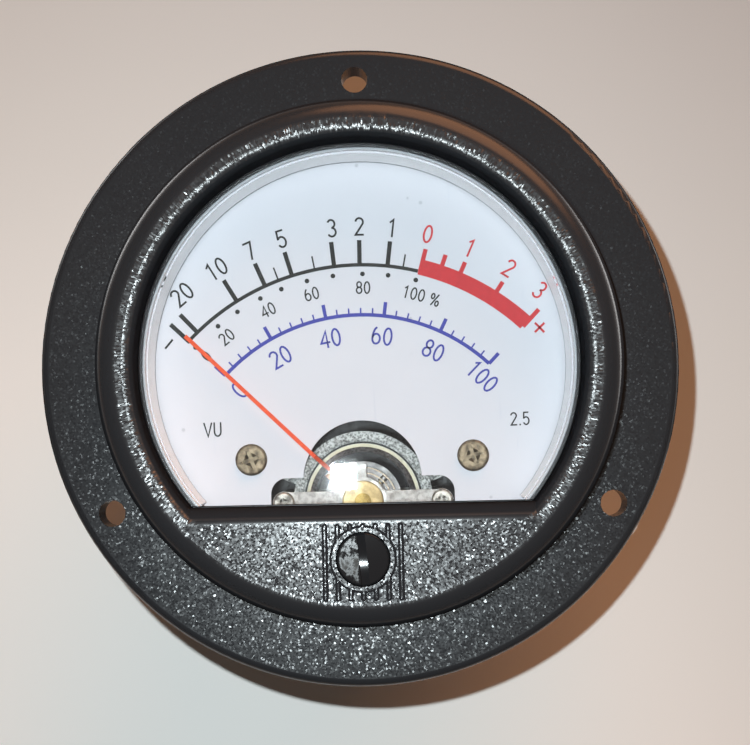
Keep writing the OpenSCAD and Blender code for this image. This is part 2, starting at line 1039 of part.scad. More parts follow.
module bridge_screws() {
    color("#c9c9c6")
        seated()
            at_pivot()
                both_sides(bridge_x, 0) {
                    translate([0, 0, front_bridge_z + bridge_t])
                        rotate([0, 0, 15])
                            cross_screw(bridge_head_r, 0.7, bridge_screw_r, bridge_screw_len);
                    translate([0, 0, rear_bridge_z])
                        mirror([0, 0, 1])
                            cross_screw(bridge_head_r, 0.7, bridge_screw_r, bridge_screw_len);
                }
}

// ---------------------------------------------------------------- bearings and springs

// Jewel screw from its jewel end at z = 0 to a slotted head above length
module jewel_screw(length) {
    difference() {
        union() {
            cylinder(r = jewel_screw_r, h = length + eps);
            translate([0, 0, length])
                cylinder(r = jewel_head_r, h = jewel_head_t);
        }
        translate([0, 0, -eps])
            cylinder(r = jewel_r, h = jewel_t + eps);
        rotate([0, 0, -45])
            span([-5, -jewel_slot_w / 2, length + 0.1], [5, jewel_slot_w / 2, length + 5]);
    }
}

// Height at which the front lock nut ends and the screw's head begins
function front_nut_top() = bush_top + 0.02 + lock_nut_t;

module front_jewel_screw() {
    color("#c79a3a")
        seated()
            at_pivot()
                translate([0, 0, jewel_screw_z])
                    jewel_screw(front_nut_top() - jewel_screw_z);
}

// Height of the rear jewel screw's jewel end, which mirrors the front one
function rear_screw_z() = mirror_sum - jewel_screw_z;
// Height of the rear spring arm's rear face
function rear_arm_z() = rear_bridge_z - bush_flange_t - arm_t;

module rear_jewel_screw() {
    color("#c79a3a")
        seated()
            at_pivot()
                translate([0, 0, rear_screw_z()])
                    mirror([0, 0, 1])
                        jewel_screw(rear_screw_z() - rear_arm_z() + lock_nut_t);
}

// Cup jewel with its blind hole open towards -z
module jewel() {
    difference() {
        cylinder(r = jewel_r, h = jewel_t);
        translate([0, 0, -eps])
            cylinder(r = jewel_hole_r, h = jewel_t - 0.1);
    }
}

module jewels() {
    color("#b3264a")
        seated()
            at_pivot() {
                translate([0, 0, jewel_screw_z])
                    jewel();
                translate([0, 0, rear_screw_z()])
                    mirror([0, 0, 1])
                        jewel();
            }
}

// Round lock nut with two spanner notches
module lock_nut() {
    difference() {
        rounded_disc(lock_nut_r, lock_nut_t, 0.25);
        translate([0, 0, -eps])
            cylinder(r = jewel_screw_r + 0.02, h = 3);
        for (side = [0, 180])
            rotate([0, 0, side - 45])
                span([lock_nut_r - 0.6, -0.35, lock_nut_t - 0.35], [lock_nut_r + 1, 0.35, 3]);
    }
}

module front_lock_nut() {
    color("#d4a843")
        seated()
            at_pivot()
                translate([0, 0, front_nut_top() - lock_nut_t])
                    lock_nut();
}

module rear_lock_nut() {
    color("#d4a843")
        seated()
            at_pivot()
                translate([0, 0, rear_arm_z()])
                    mirror([0, 0, 1])
                        lock_nut();
}

module rear_insulator() {
    color("#8a5a35")
        seated()
            at_pivot()
                translate([0, 0, rear_bridge_z - bush_flange_t])
                    ring(arm_hub_r - 0.4, jewel_screw_r + 0.02, bush_flange_t);
}

module rear_spring_arm() {
    reach = tab_y + arm_t;
    color("#c9c6bd")
        seated()
            at_pivot() {
                translate([0, 0, rear_arm_z()])
                    linear_extrude(height = arm_t)
                        difference() {
                            union() {
                                circle(arm_hub_r - 0.6);
                                translate([-tab_w / 2, -reach])
                                    square([tab_w, 2 * reach]);
                            }
                            circle(jewel_screw_r + 0.02);
                        }
                span([-tab_w / 2, tab_y, rear_arm_z()], [tab_w / 2, reach, mirror_sum - collet_z]);
            }
}

// Half of a thin ring of mean radius r, above the x axis when up is 1 and below when -1
module half_turn(r, centre, up) {
    translate([centre, 0])
        intersection() {
            difference() {
                circle(r + spring_t / 2);
                circle(r - spring_t / 2);
            }
            translate([-10, up > 0 ? 0 : -10])
                square([20, 10]);
        }
}

// Flat spiral of half turns whose radius grows by one step each, ending above the pivot
module spiral() {
    linear_extrude(height = spring_w) {
        for (k = [0 : 2 * spring_turns - 1])
            half_turn(spring_start_r + k * spring_step, k % 2 == 0 ? 0 : spring_step, k % 2 == 0 ? 1 : -1);
        intersection() {
            half_turn(spring_start_r + 2 * spring_turns * spring_step, 0, 1);
            square([10, 10]);
        }
    }
}

module front_hairspring() {
    color("#b98b46")
        seated()
            at_pivot()
                translate([0, 0, collet_z + 0.05])
                    spiral();
}

module rear_hairspring() {
    color("#b98b46")
        seated()
            at_pivot()
                translate([0, 0, mirror_sum - collet_z - 0.05 - spring_w])
                    spiral();
}

module hairspring_collets() {
    color("#c9a557")
        seated()
            at_pivot()
                for (z = [collet_z, mirror_sum - collet_z - collet_t])
                    translate([0, 0, z])
                        ring(collet_r, needle_r + 0.02, collet_t);
}

// ---------------------------------------------------------------- moving coil

// Rectangle with round corners, centred on the origin
module round_rect(size, r) {
    square([size.x - 2 * r, size.y], center = true);
    square([size.x, size.y - 2 * r], center = true);
    for (sx = [-1, 1], sy = [-1, 1])
        translate([sx * (size.x / 2 - r), sy * (size.y / 2 - r)])
            circle(r, $fn = 32);
}

// Loop of the coil's plane: outer half width y, wall t, inset from the coil's ends
module coil_loop(y, t, inset, corner) {
    length = coil_z[1] - coil_z[0] - 2 * inset;
    at_rest()
        translate([0, 0, mirror_sum / 2])
            along_x(2 * coil_half_w)
                difference() {
                    round_rect([2 * y, length], corner);
                    round_rect([2 * (y - t), length - 2 * t], corner - t / 2);
                }
}

module coil_former() {
    color("#c7c9cb")
        seated()
            coil_loop(coil_y - winding_t, former_t, winding_t, 0.36);
}

module coil_winding() {
    color("#8c4a22")
        seated()
            coil_loop(coil_y, winding_t, 0, 0.5);
}

// Base, hub and needle standing on the end of the coil, along +z from z = 0
module pivot(hub_h, needle_h) {
    cylinder(r = base_r, h = base_t);
    cylinder(r = hub_r, h = hub_h);
    cylinder(r = needle_r, h = needle_h - 0.15, $fn = 32);
    translate([0, 0, needle_h - 0.15 - eps])
        cylinder(r1 = needle_r, r2 = 0.05, h = 0.15, $fn = 32);
}

module front_pivot() {
    color("#9fa3a8")
        seated()
            at_pivot()
                translate([0, 0, coil_z[1]])
                    pivot(hub_top - coil_z[1], needle_tip - coil_z[1]);
}

module rear_pivot() {
    color("#9fa3a8")
        seated()
            at_pivot()
                translate([0, 0, coil_z[0]])
                    mirror([0, 0, 1])
                        pivot(hub_top - coil_z[1], needle_tip - coil_z[1]);
}

// Three arms: one opposite the pointer and one to each side
module cross_shape() {
    difference() {
        union() {
            cylinder(r = cross_ring_r, h = cross_t);
            for (turn = [90, 180, 270])
                rotate([0, 0, turn])
                    span([-cross_arm_w / 2, 0, 0], [cross_arm_w / 2, cross_reach, cross_t]);
        }
        translate([0, 0, -eps])
            cylinder(r = hub_r + 0.02, h = 1);
    }
}

module balance_cross() {
    color("#b8934a")
        seated()
            at_rest()
                translate([0, 0, cross_z])
                    cross_shape();
}

module balance_weights() {
    color("#5a4a3a")
        seated()
            at_rest()
                translate([0, 0, cross_z])
                    difference() {
                        for (turn = [90, 180, 270])
                            rotate([0, 0, turn])
                                translate([0, cross_reach, cross_t / 2])
                                    rotate([90, 0, 0])
                                        cylinder(r = weight_r, h = weight_len, $fn = 32);
                        cross_shape();
                    }
}

module pointer() {
    low = pointer_z;
    high = low + pointer_t;
    color("#e85a32")
        seated()
            at_rest()
                difference() {
                    union() {
                        translate([0, 0, low])
                            cylinder(r = cross_ring_r, h = pointer_t);
                        along_x(pointer_w)
                            polygon([
                                [0, low],
                                [crank_y[0], low],
                                [crank_y[1], blade_z],
                                [pointer_len, blade_z],
                                [pointer_len, blade_z + pointer_t],
                                [crank_y[1] - 0.15, blade_z + pointer_t],
                                [crank_y[0] - 0.15, high],
                                [0, high]
                            ]);
                    }
                    translate([0, 0, low - eps])
                        cylinder(r = hub_r + 0.02, h = 1);
                }
}

front_cover();
window();
rear_case();
case_screws();
zero_adjust_screw();
dial_plate();
black_scale_print();
red_scale_print();
blue_scale_print();
dial_screws();
movement_frame();
frame_screws();
yoke_ring();
core_magnet();
core_supports();
front_bridge();
rear_bridge();
bridge_screws();
front_jewel_screw();
rear_jewel_screw();
jewels();
front_lock_nut();
rear_lock_nut();
zero_arm_bush();
rear_insulator();
zero_arm();
rear_spring_arm();
front_hairspring();
rear_hairspring();
hairspring_collets();
coil_former();
coil_winding();
front_pivot();
rear_pivot();
balance_cross();
balance_weights();
pointer();
terminal_studs();
terminal_washers();
terminal_clamp_nuts();
outer_solder_tags();
terminal_wire_nuts();
inner_solder_tags();
frame_lead();
spring_lead();
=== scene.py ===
"""Round moving-coil panel meter: the looks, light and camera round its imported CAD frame."""

import math

import bpy
import numpy as np
from mathutils import Matrix, Vector


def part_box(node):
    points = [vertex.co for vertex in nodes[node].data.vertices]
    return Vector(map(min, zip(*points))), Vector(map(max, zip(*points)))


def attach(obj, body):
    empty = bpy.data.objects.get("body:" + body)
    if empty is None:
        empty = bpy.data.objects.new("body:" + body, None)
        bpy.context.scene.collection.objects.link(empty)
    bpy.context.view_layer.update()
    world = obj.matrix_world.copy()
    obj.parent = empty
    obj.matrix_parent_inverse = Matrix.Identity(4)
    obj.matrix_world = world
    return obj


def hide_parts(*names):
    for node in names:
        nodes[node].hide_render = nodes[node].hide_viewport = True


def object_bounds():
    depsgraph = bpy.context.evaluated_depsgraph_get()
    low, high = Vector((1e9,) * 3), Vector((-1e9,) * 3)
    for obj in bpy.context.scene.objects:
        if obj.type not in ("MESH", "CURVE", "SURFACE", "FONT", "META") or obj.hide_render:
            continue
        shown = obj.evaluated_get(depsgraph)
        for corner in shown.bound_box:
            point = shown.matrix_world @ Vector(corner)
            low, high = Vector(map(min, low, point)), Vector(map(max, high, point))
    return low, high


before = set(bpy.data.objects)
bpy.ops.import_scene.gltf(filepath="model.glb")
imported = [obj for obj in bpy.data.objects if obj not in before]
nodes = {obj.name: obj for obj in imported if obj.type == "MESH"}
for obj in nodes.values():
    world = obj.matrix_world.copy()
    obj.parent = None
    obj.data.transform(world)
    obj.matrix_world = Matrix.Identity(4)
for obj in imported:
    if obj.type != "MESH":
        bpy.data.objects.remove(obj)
cad_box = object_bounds()

# ---------------------------------------------------------------- reader's camera
# The reader holds the camera almost straight in front of the dial, a little below its middle,
# with a slight turn of the wrist. MM turns the meter's millimetres into metres.
MM = 0.001

eye = Vector((2.28, -184.5, -12.0)) * MM
aim = Vector((1.844, -4.5, -1.138)) * MM
wrist_turn = math.radians(-1.206)

forward = (aim - eye).normalized()
level_right = forward.cross(Vector((0, 0, 1))).normalized()
level_up = level_right.cross(forward)
right = level_right * math.cos(wrist_turn) + level_up * math.sin(wrist_turn)
up = level_up * math.cos(wrist_turn) - level_right * math.sin(wrist_turn)

reader = bpy.data.objects.new("reader", bpy.data.cameras.new("reader"))
reader.data.sensor_width = 36
reader.data.lens = 69.29
reader.data.clip_start = 0.01
reader.matrix_world = Matrix.Translation(eye) @ Matrix((right, up, -forward)).transposed().to_4x4()
bpy.context.scene.collection.objects.link(reader)
bpy.context.scene.camera = reader
bpy.context.scene.view_settings.view_transform = "Standard"


# ---------------------------------------------------------------- light
# A small cool white lamp beside the camera lights the dial and throws the shadow. Its twin shows
# only in glossy surfaces. A wide warm lamp up to the right fills the shadow with brown, and two
# soft lamps behind the meter light its back.
def add_lamp(name, place, target, width, watts, colour=(1, 1, 1), shape="DISK"):
    """Flat lamp at place that faces target; places and width in millimetres."""
    light = bpy.data.lights.new(name, "AREA")
    light.shape = shape
    light.size = width * MM
    light.energy = watts
    light.color = colour
    lamp = bpy.data.objects.new(name, light)
    facing_target = (Vector(target) - Vector(place)).to_track_quat("-Z", "Y")
    lamp.matrix_world = Matrix.Translation(Vector(place) * MM) @ facing_target.to_matrix().to_4x4()
    bpy.context.scene.collection.objects.link(lamp)
    return lamp


cool = (0.861, 0.966, 1.0)
flash = add_lamp("flash", (-7.5, -184.5, 1.1), (0, 0, 0), 2.5, 0.41, cool)
flash.visible_glossy = False
flash.visible_transmission = False
glint = add_lamp("glint", (-6.7, -184.5, -15.9), (0, 0, 0), 6, 0.215, cool, "SQUARE")
glint.visible_diffuse = False
warm = (1.0, 0.435, 0.193)
add_lamp("warm_side", (300, -370, 770), (0, 40, 0), 900, 6.6, warm)
for name, place in (("rear_left", (-350, 320, 260)), ("rear_right", (380, 280, 120))):
    rear_lamp = add_lamp(name, place, (0, 15, 0), 300, 5)
    rear_lamp.visible_camera = False

room = bpy.data.worlds.new("room")
bpy.context.scene.world = room
room.use_nodes = True
room_nodes = room.node_tree.nodes
room_links = room.node_tree.links
room_nodes.clear()


def background(colour):
    """Plain world light of one colour."""
    node = room_nodes.new("ShaderNodeBackground")
    node.inputs["Color"].default_value = colour
    return node.outputs[0]


def choose(switch, otherwise, chosen):
    """World light that is chosen where the switch is on."""
    node = room_nodes.new("ShaderNodeMixShader")
    room_links.new(switch, node.inputs["Fac"])
    room_links.new(otherwise, node.inputs[1])
    room_links.new(chosen, node.inputs[2])
    return node.outputs[0]


seen = room_nodes.new("ShaderNodeLightPath")
seen_or_through = room_nodes.new("ShaderNodeMath")
seen_or_through.operation = "MAXIMUM"
room_links.new(seen.outputs["Is Camera Ray"], seen_or_through.inputs[0])
room_links.new(seen.outputs["Is Transmission Ray"], seen_or_through.inputs[1])
brown_dusk = background((0.040, 0.029, 0.022, 1))
mirrored_room = background((0.12, 0.10, 0.09, 1))
pale_room = background((0.72, 0.70, 0.69, 1))
dim_room = choose(seen.outputs["Is Glossy Ray"], brown_dusk, mirrored_room)
whole_room = choose(seen_or_through.outputs[0], dim_room, pale_room)
room_links.new(whole_room, room_nodes.new("ShaderNodeOutputWorld").inputs["Surface"])


# ---------------------------------------------------------------- backdrop
# A plain pale board behind the studs, painted paler towards its lower left, partly its own tone and
# partly painted light for the flash lamp's falloff across it. It is clear from behind and throws no
# shadow, so that the meter's back is seen and lit as well.
def sheet_mesh(name, corners, faces):
    """Mesh of the given corners and faces."""
    mesh = bpy.data.meshes.new(name)
    mesh.from_pydata(corners, [], faces)
    mesh.update()
    return mesh


def put(mesh, name):
    """An object at the origin that shows the mesh."""
    obj = bpy.data.objects.new(name, mesh)
    bpy.context.scene.collection.objects.link(obj)
    return obj


def finish_nodes(name):
    """A material with one Principled shader: (material, nodes, links, shader)."""
    material = bpy.data.materials.new(name)
    material.use_nodes = True
    tree = material.node_tree
    return material, tree.nodes, tree.links, tree.nodes["Principled BSDF"]


def noise(n, l, vector, scale, detail=2.0, roughness=0.5):
    """Noise texture on the given vector."""
    node = n.new("ShaderNodeTexNoise")
    node.inputs["Scale"].default_value = scale
    node.inputs["Detail"].default_value = detail
    node.inputs["Roughness"].default_value = roughness
    l.new(vector, node.inputs["Vector"])
    return node


def remap(n, l, value, low, high, to_low=0.0, to_high=1.0, smooth=True):
    """Maps low..high to to_low..to_high, clamped."""
    node = n.new("ShaderNodeMapRange")
    node.interpolation_type = "SMOOTHSTEP" if smooth else "LINEAR"
    node.inputs["From Min"].default_value = low
    node.inputs["From Max"].default_value = high
    node.inputs["To Min"].default_value = to_low
    node.inputs["To Max"].default_value = to_high
    l.new(value, node.inputs["Value"])
    return node.outputs["Result"]


def maths(n, l, operation, a, b=None):
    """A Math node; a and b are sockets or numbers."""
    node = n.new("ShaderNodeMath")
    node.operation = operation
    for i, value in enumerate((a, b)):
        if value is None:
            continue
        if isinstance(value, (int, float)):
            node.inputs[i].default_value = value
        else:
            l.new(value, node.inputs[i])
    return node.outputs[0]


board_y = cad_box[1].y + 0.7 * MM
board_half = 0.7
backdrop = put(
    sheet_mesh(
        "backdrop",
        [(-board_half, board_y, -board_half), (board_half, board_y, -board_half),
         (board_half, board_y, board_half), (-board_half, board_y, board_half)],
        [(0, 1, 2, 3)],
    ),
    "backdrop",
)
board, n, l, shader = finish_nodes("board")
shader.inputs["Roughness"].default_value = 0.85
shader.inputs["Specular IOR Level"].default_value = 0.2
where = n.new("ShaderNodeTexCoord")
# Painted light: the board is paler towards its lower left, partly standing in for the flash lamp's falloff
painted_falloff = n.new("ShaderNodeVectorMath")
painted_falloff.operation = "DOT_PRODUCT"
painted_falloff.inputs[1].default_value = (-0.45, 0, -1)
l.new(where.outputs["Object"], painted_falloff.inputs[0])
mottle = noise(n, l, where.outputs["Object"], 14, 3)
mottle_and_painted_falloff = maths(n, l, "ADD", maths(n, l, "MULTIPLY", mottle.outputs["Fac"], 0.02), painted_falloff.outputs["Value"])
tone = n.new("ShaderNodeValToRGB")
tone.color_ramp.elements[0].position = 0
tone.color_ramp.elements[0].color = (0.47, 0.49, 0.50, 1)
tone.color_ramp.elements[1].position = 1
tone.color_ramp.elements[1].color = (1.0, 0.98, 0.95, 1)
tone.color_ramp.elements.new(0.5).color = (0.69, 0.695, 0.68, 1)
l.new(remap(n, l, mottle_and_painted_falloff, -0.11, 0.10, smooth=False), tone.inputs["Fac"])
l.new(tone.outputs["Color"], shader.inputs["Base Color"])
side = n.new("ShaderNodeNewGeometry")
light_path = n.new("ShaderNodeLightPath")
let_through = maths(n, l, "MAXIMUM", side.outputs["Backfacing"], light_path.outputs["Is Shadow Ray"])
clear = n.new("ShaderNodeBsdfTransparent")
board_mix = n.new("ShaderNodeMixShader")
l.new(let_through, board_mix.inputs["Fac"])
l.new(shader.outputs[0], board_mix.inputs[1])
l.new(clear.outputs[0], board_mix.inputs[2])
l.new(board_mix.outputs[0], n["Material Output"].inputs["Surface"])
backdrop.data.materials.append(board)


# ---------------------------------------------------------------- finishes shared by many pieces
# Node groups for handling marks, spark-eroded grain and lathe lines, which put out only masks,
# tilts and heights, and the small helpers that fill materials and give them to CAD nodes.
def new_group(name, inputs, outputs):
    """A shader node group: (group, nodes, links, its input node, its output node)."""
    group = bpy.data.node_groups.new(name, "ShaderNodeTree")
    for label, kind, value in inputs:
        socket = group.interface.new_socket(label, in_out="INPUT", socket_type=kind)
        if value is not None:
            socket.default_value = value
    for label, kind in outputs:
        group.interface.new_socket(label, in_out="OUTPUT", socket_type=kind)
    start = group.nodes.new("NodeGroupInput")
    end = group.nodes.new("NodeGroupOutput")
    return group, group.nodes, group.links, start, end


def use_group(n, group, **values):
    """Places a group in a material's nodes with its own values."""
    node = n.new("ShaderNodeGroup")
    node.node_tree = group
    for label, value in values.items():
        node.inputs[label.replace("_", " ")].default_value = value
    return node


def blend_colour(n, l, mask, first, second):
    """Mixes two colours by a mask; each is a socket or a tuple."""
    node = n.new("ShaderNodeMix")
    node.data_type = "RGBA"
    l.new(mask, node.inputs["Factor"])
    for label, value in (("A", first), ("B", second)):
        socket = [s for s in node.inputs if s.name == label and s.type == "RGBA"][0]
        if isinstance(value, tuple):
            socket.default_value = value
        else:
            l.new(value, socket)
    return [s for s in node.outputs if s.type == "RGBA"][0]


def vector_maths(n, l, operation, a, b):
    """A Vector Math node; a and b are sockets or triples."""
    node = n.new("ShaderNodeVectorMath")
    node.operation = operation
    for i, value in enumerate((a, b)):
        if isinstance(value, tuple):
            node.inputs[i].default_value = value
        else:
            l.new(value, node.inputs[i])
    return node.outputs["Vector"]


def scaled(n, l, vector, factor):
    """A vector times a number; both are sockets."""
    node = n.new("ShaderNodeVectorMath")
    node.operation = "SCALE"
    l.new(vector, node.inputs["Vector"])
    l.new(factor, node.inputs["Scale"])
    return node.outputs["Vector"]


def length_of(n, l, a, b):
    """Root of the sum of two squares."""
    squares = maths(n, l, "ADD", maths(n, l, "MULTIPLY", a, a), maths(n, l, "MULTIPLY", b, b))
    return maths(n, l, "SQRT", squares)


# Handling marks: faint cloudy smears, fine hair scratches and small specks of dust
wear_marks, n, l, start, end = new_group(
    "wear_marks",
    [("Vector", "NodeSocketVector", None), ("Specks", "NodeSocketFloat", 900.0),
     ("Amount", "NodeSocketFloat", 0.5)],
    [("Smear", "NodeSocketFloat"), ("Scratch", "NodeSocketFloat"), ("Dust", "NodeSocketFloat")],
)
smear = noise(n, l, start.outputs["Vector"], 70, 4, 0.6)
l.new(remap(n, l, smear.outputs["Fac"], 0.42, 0.75), end.inputs["Smear"])
stretch = n.new("ShaderNodeMapping")
stretch.inputs["Rotation"].default_value = (0.3, 0.9, 0.5)
stretch.inputs["Scale"].default_value = (1, 0.04, 0.04)
l.new(start.outputs["Vector"], stretch.inputs["Vector"])
hair = noise(n, l, stretch.outputs["Vector"], 3000, 1)
l.new(remap(n, l, hair.outputs["Fac"], 0.70, 0.76), end.inputs["Scratch"])
speck = n.new("ShaderNodeTexVoronoi")
l.new(start.outputs["Vector"], speck.inputs["Vector"])
l.new(start.outputs["Specks"], speck.inputs["Scale"])
speck_core = remap(n, l, speck.outputs["Distance"], 0.10, 0.20, 1, 0)
speck_pick = n.new("ShaderNodeSeparateColor")
l.new(speck.outputs["Color"], speck_pick.inputs["Color"])
chosen = maths(n, l, "LESS_THAN", speck_pick.outputs["Red"], start.outputs["Amount"])
l.new(maths(n, l, "MULTIPLY", speck_core, chosen), end.inputs["Dust"])

# Spark-eroded grain: every tiny facet of the mould tilts its own way, most of them only a little
spark_facets, n, l, start, end = new_group(
    "spark_facets",
    [("Vector", "NodeSocketVector", None), ("Facets per metre", "NodeSocketFloat", 3400.0),
     ("Steepness", "NodeSocketFloat", 0.3)],
    [("Tilt", "NodeSocketVector")],
)
cells = n.new("ShaderNodeTexVoronoi")
l.new(start.outputs["Vector"], cells.inputs["Vector"])
l.new(start.outputs["Facets per metre"], cells.inputs["Scale"])
doubled = vector_maths(n, l, "MULTIPLY", cells.outputs["Color"], (2, 2, 2))
spread = vector_maths(n, l, "SUBTRACT", doubled, (1, 1, 1))
cubed = vector_maths(n, l, "MULTIPLY", spread, vector_maths(n, l, "MULTIPLY", spread, spread))
l.new(scaled(n, l, cubed, start.outputs["Steepness"]), end.inputs["Tilt"])

# Machining: fine lines round the meter's depth axis, with the centre given in the vector
lathe_lines, n, l, start, end = new_group(
    "lathe_lines",
    [("Vector", "NodeSocketVector", None), ("Lines per metre", "NodeSocketFloat", 9000.0)],
    [("Height", "NodeSocketFloat")],
)
parts = n.new("ShaderNodeSeparateXYZ")
l.new(start.outputs["Vector"], parts.inputs["Vector"])
from_axis = length_of(n, l, parts.outputs["X"], parts.outputs["Z"])
line_place = n.new("ShaderNodeCombineXYZ")
for label, distance in (("X", from_axis), ("Y", parts.outputs["Y"])):
    l.new(maths(n, l, "MULTIPLY", distance, start.outputs["Lines per metre"]), line_place.inputs[label])
lines = noise(n, l, line_place.outputs["Vector"], 1, 1)
l.new(lines.outputs["Fac"], end.inputs["Height"])


def bump(n, l, height, depth, shader):
    """Feeds a height from 0 to 1, which stands for a depth in metres, into the shader's normal."""
    node = n.new("ShaderNodeBump")
    node.inputs["Strength"].default_value = 1
    node.inputs["Distance"].default_value = depth
    l.new(height, node.inputs["Height"])
    l.new(node.outputs["Normal"], shader.inputs["Normal"])


def centred(n, l, x, z):
    """Object coordinates with their origin moved to (x, z), given in millimetres."""
    where = n.new("ShaderNodeTexCoord")
    shift = n.new("ShaderNodeMapping")
    shift.inputs["Location"].default_value = (-x * MM, 0, -z * MM)
    l.new(where.outputs["Object"], shift.inputs["Vector"])
    return shift.outputs["Vector"]


def dress(material, *names):
    """Gives CAD nodes a material in every slot."""
    for name in names:
        for slot in nodes[name].material_slots:
            slot.material = material


# ---------------------------------------------------------------- black mouldings
# The flange, bezel and chin are one moulding in black plastic. Its flat faces and the bezel's crest
# carry the mould's spark-eroded grain; the roundings and the wall of the opening are smooth.
def tilt_normal(n, l, tilts, shader):
    """Adds masked tilts, as (tilt, mask) pairs, to the surface's normal."""
    normal = n.new("ShaderNodeNewGeometry").outputs["Normal"]
    for tilt, mask in tilts:
        normal = vector_maths(n, l, "ADD", normal, scaled(n, l, tilt, mask))
    unit = n.new("ShaderNodeVectorMath")
    unit.operation = "NORMALIZE"
    l.new(normal, unit.inputs["Vector"])
    l.new(unit.outputs["Vector"], shader.inputs["Normal"])


def within(n, l, value, low, high, soft):
    """1 between low and high, in metres, with soft edges."""
    return maths(n, l, "MULTIPLY", remap(n, l, value, low - soft, low + soft),
                 remap(n, l, value, high - soft, high + soft, 1, 0))


def opposite(n, l, mask):
    """1 less the mask."""
    return maths(n, l, "SUBTRACT", 1.0, mask)


screw_low, screw_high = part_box("zero_adjust_screw")
adjuster_z = screw_low.z + (screw_high.z - screw_low.z) / 2

cover_plastic, n, l, shader = finish_nodes("cover_plastic")
where = n.new("ShaderNodeTexCoord")
at = where.outputs["Object"]
axes = n.new("ShaderNodeSeparateXYZ")
l.new(at, axes.inputs["Vector"])
x, y, z = (axes.outputs[k] for k in "XYZ")
radius = length_of(n, l, x, z)
facing = n.new("ShaderNodeNewGeometry")
facing_parts = n.new("ShaderNodeSeparateXYZ")
l.new(facing.outputs["Normal"], facing_parts.inputs["Vector"])
flat = remap(n, l, facing_parts.outputs["Y"], -0.97, -0.88, 1, 0)
flange_foot, flange_edge = 32.3 * MM, 38.9 * MM
crest_in, crest_out = 27.4 * MM, 29.4 * MM
chin_top = -19.6 * MM
on_flange = within(n, l, radius, flange_foot, flange_edge, 0.25 * MM)
on_chin = maths(n, l, "MULTIPLY", remap(n, l, z, chin_top, chin_top + 0.5 * MM, 1, 0),
                remap(n, l, radius, crest_out - 0.7 * MM, crest_out, 1, 0))

# A dark polished line runs round every rib and round the collar of the zero adjuster
rib_pitch = 1.5 * MM
rib_half_width = 0.3 * MM
rib_top, rib_foot = -19.8 * MM, -28.3 * MM
outermost_rib = 3.0
collar_r = 3.95 * MM
rib_number = maths(n, l, "ROUND", maths(n, l, "DIVIDE", x, rib_pitch))
rib_number = maths(n, l, "MINIMUM", maths(n, l, "MAXIMUM", rib_number, -outermost_rib), outermost_rib)
across_rib = maths(n, l, "SUBTRACT", x, maths(n, l, "MULTIPLY", rib_number, rib_pitch))
past_rib = maths(n, l, "MAXIMUM", maths(n, l, "SUBTRACT", z, rib_top), maths(n, l, "SUBTRACT", rib_foot, z))
past_rib = maths(n, l, "MAXIMUM", past_rib, 0.0)
from_rib = maths(n, l, "SUBTRACT", length_of(n, l, across_rib, past_rib), rib_half_width)
from_adjuster = length_of(n, l, x, maths(n, l, "SUBTRACT", z, adjuster_z))
from_relief = maths(n, l, "MINIMUM", from_rib, maths(n, l, "SUBTRACT", from_adjuster, collar_r))
relief_line = within(n, l, from_relief, -0.235 * MM, 0.06 * MM, 0.02 * MM)
on_chin = maths(n, l, "MULTIPLY", on_chin, opposite(n, l, relief_line))

flange_share = 0.60
on_flange = maths(n, l, "MULTIPLY", on_flange, flange_share)
grained = maths(n, l, "MULTIPLY", flat, maths(n, l, "MAXIMUM", on_flange, on_chin))
on_crest = maths(n, l, "MULTIPLY", within(n, l, radius, crest_in, crest_out, 0.3 * MM),
                 remap(n, l, y, -12.2 * MM, -11.2 * MM, 1, 0))
on_crest = maths(n, l, "MULTIPLY", on_crest, opposite(n, l, grained))
flat_facets = use_group(n, spark_facets, Facets_per_metre=4900.0, Steepness=0.17)
l.new(at, flat_facets.inputs["Vector"])
crest_r = 28.3 * MM
round_place = n.new("ShaderNodeCombineXYZ")
l.new(maths(n, l, "MULTIPLY", maths(n, l, "ARCTAN2", x, z), crest_r), round_place.inputs["X"])
l.new(maths(n, l, "MULTIPLY", radius, 0.35), round_place.inputs["Y"])
crest_facets = use_group(n, spark_facets, Facets_per_metre=7000.0, Steepness=0.22)
l.new(round_place.outputs["Vector"], crest_facets.inputs["Vector"])
tilts = [(flat_facets.outputs["Tilt"], grained), (crest_facets.outputs["Tilt"], on_crest)]
tilt_normal(n, l, tilts, shader)
wear = use_group(n, wear_marks)
l.new(at, wear.inputs["Vector"])
shader.inputs["Base Color"].default_value = (0.0165, 0.0170, 0.0190, 1)

# The wall of the opening, the bezel's foot and the flange's upper rim are dull and drink the light
in_opening = remap(n, l, radius, 27.45 * MM, 27.75 * MM, 1, 0)
at_foot = maths(n, l, "MULTIPLY", remap(n, l, radius, 31.2 * MM, 31.5 * MM),
                remap(n, l, y, -4.75 * MM, -4.6 * MM, 1, 0))
on_rim = maths(n, l, "MULTIPLY", remap(n, l, radius, 39.5 * MM, 39.8 * MM),
               remap(n, l, z, -22 * MM, -10 * MM))
on_walls = maths(n, l, "MAXIMUM", maths(n, l, "MAXIMUM", in_opening, at_foot), on_rim)
on_walls = maths(n, l, "MULTIPLY", on_walls, opposite(n, l, flat))
line_on_flat = maths(n, l, "MULTIPLY", relief_line, flat)
rough = 0.235
smear = wear.outputs["Smear"]
for mask, rougher in ((on_crest, 0.06), (line_on_flat, -0.16), (on_walls, 0.45), (smear, 0.03)):
    rough = maths(n, l, "ADD", maths(n, l, "MULTIPLY", mask, rougher), rough)
l.new(rough, shader.inputs["Roughness"])
sheen = maths(n, l, "ADD", maths(n, l, "MULTIPLY", on_crest, 0.5), 0.5)
lit = opposite(n, l, maths(n, l, "MAXIMUM", on_walls, line_on_flat))
l.new(maths(n, l, "MULTIPLY", sheen, lit), shader.inputs["Specular IOR Level"])
dress(cover_plastic, "front_cover")

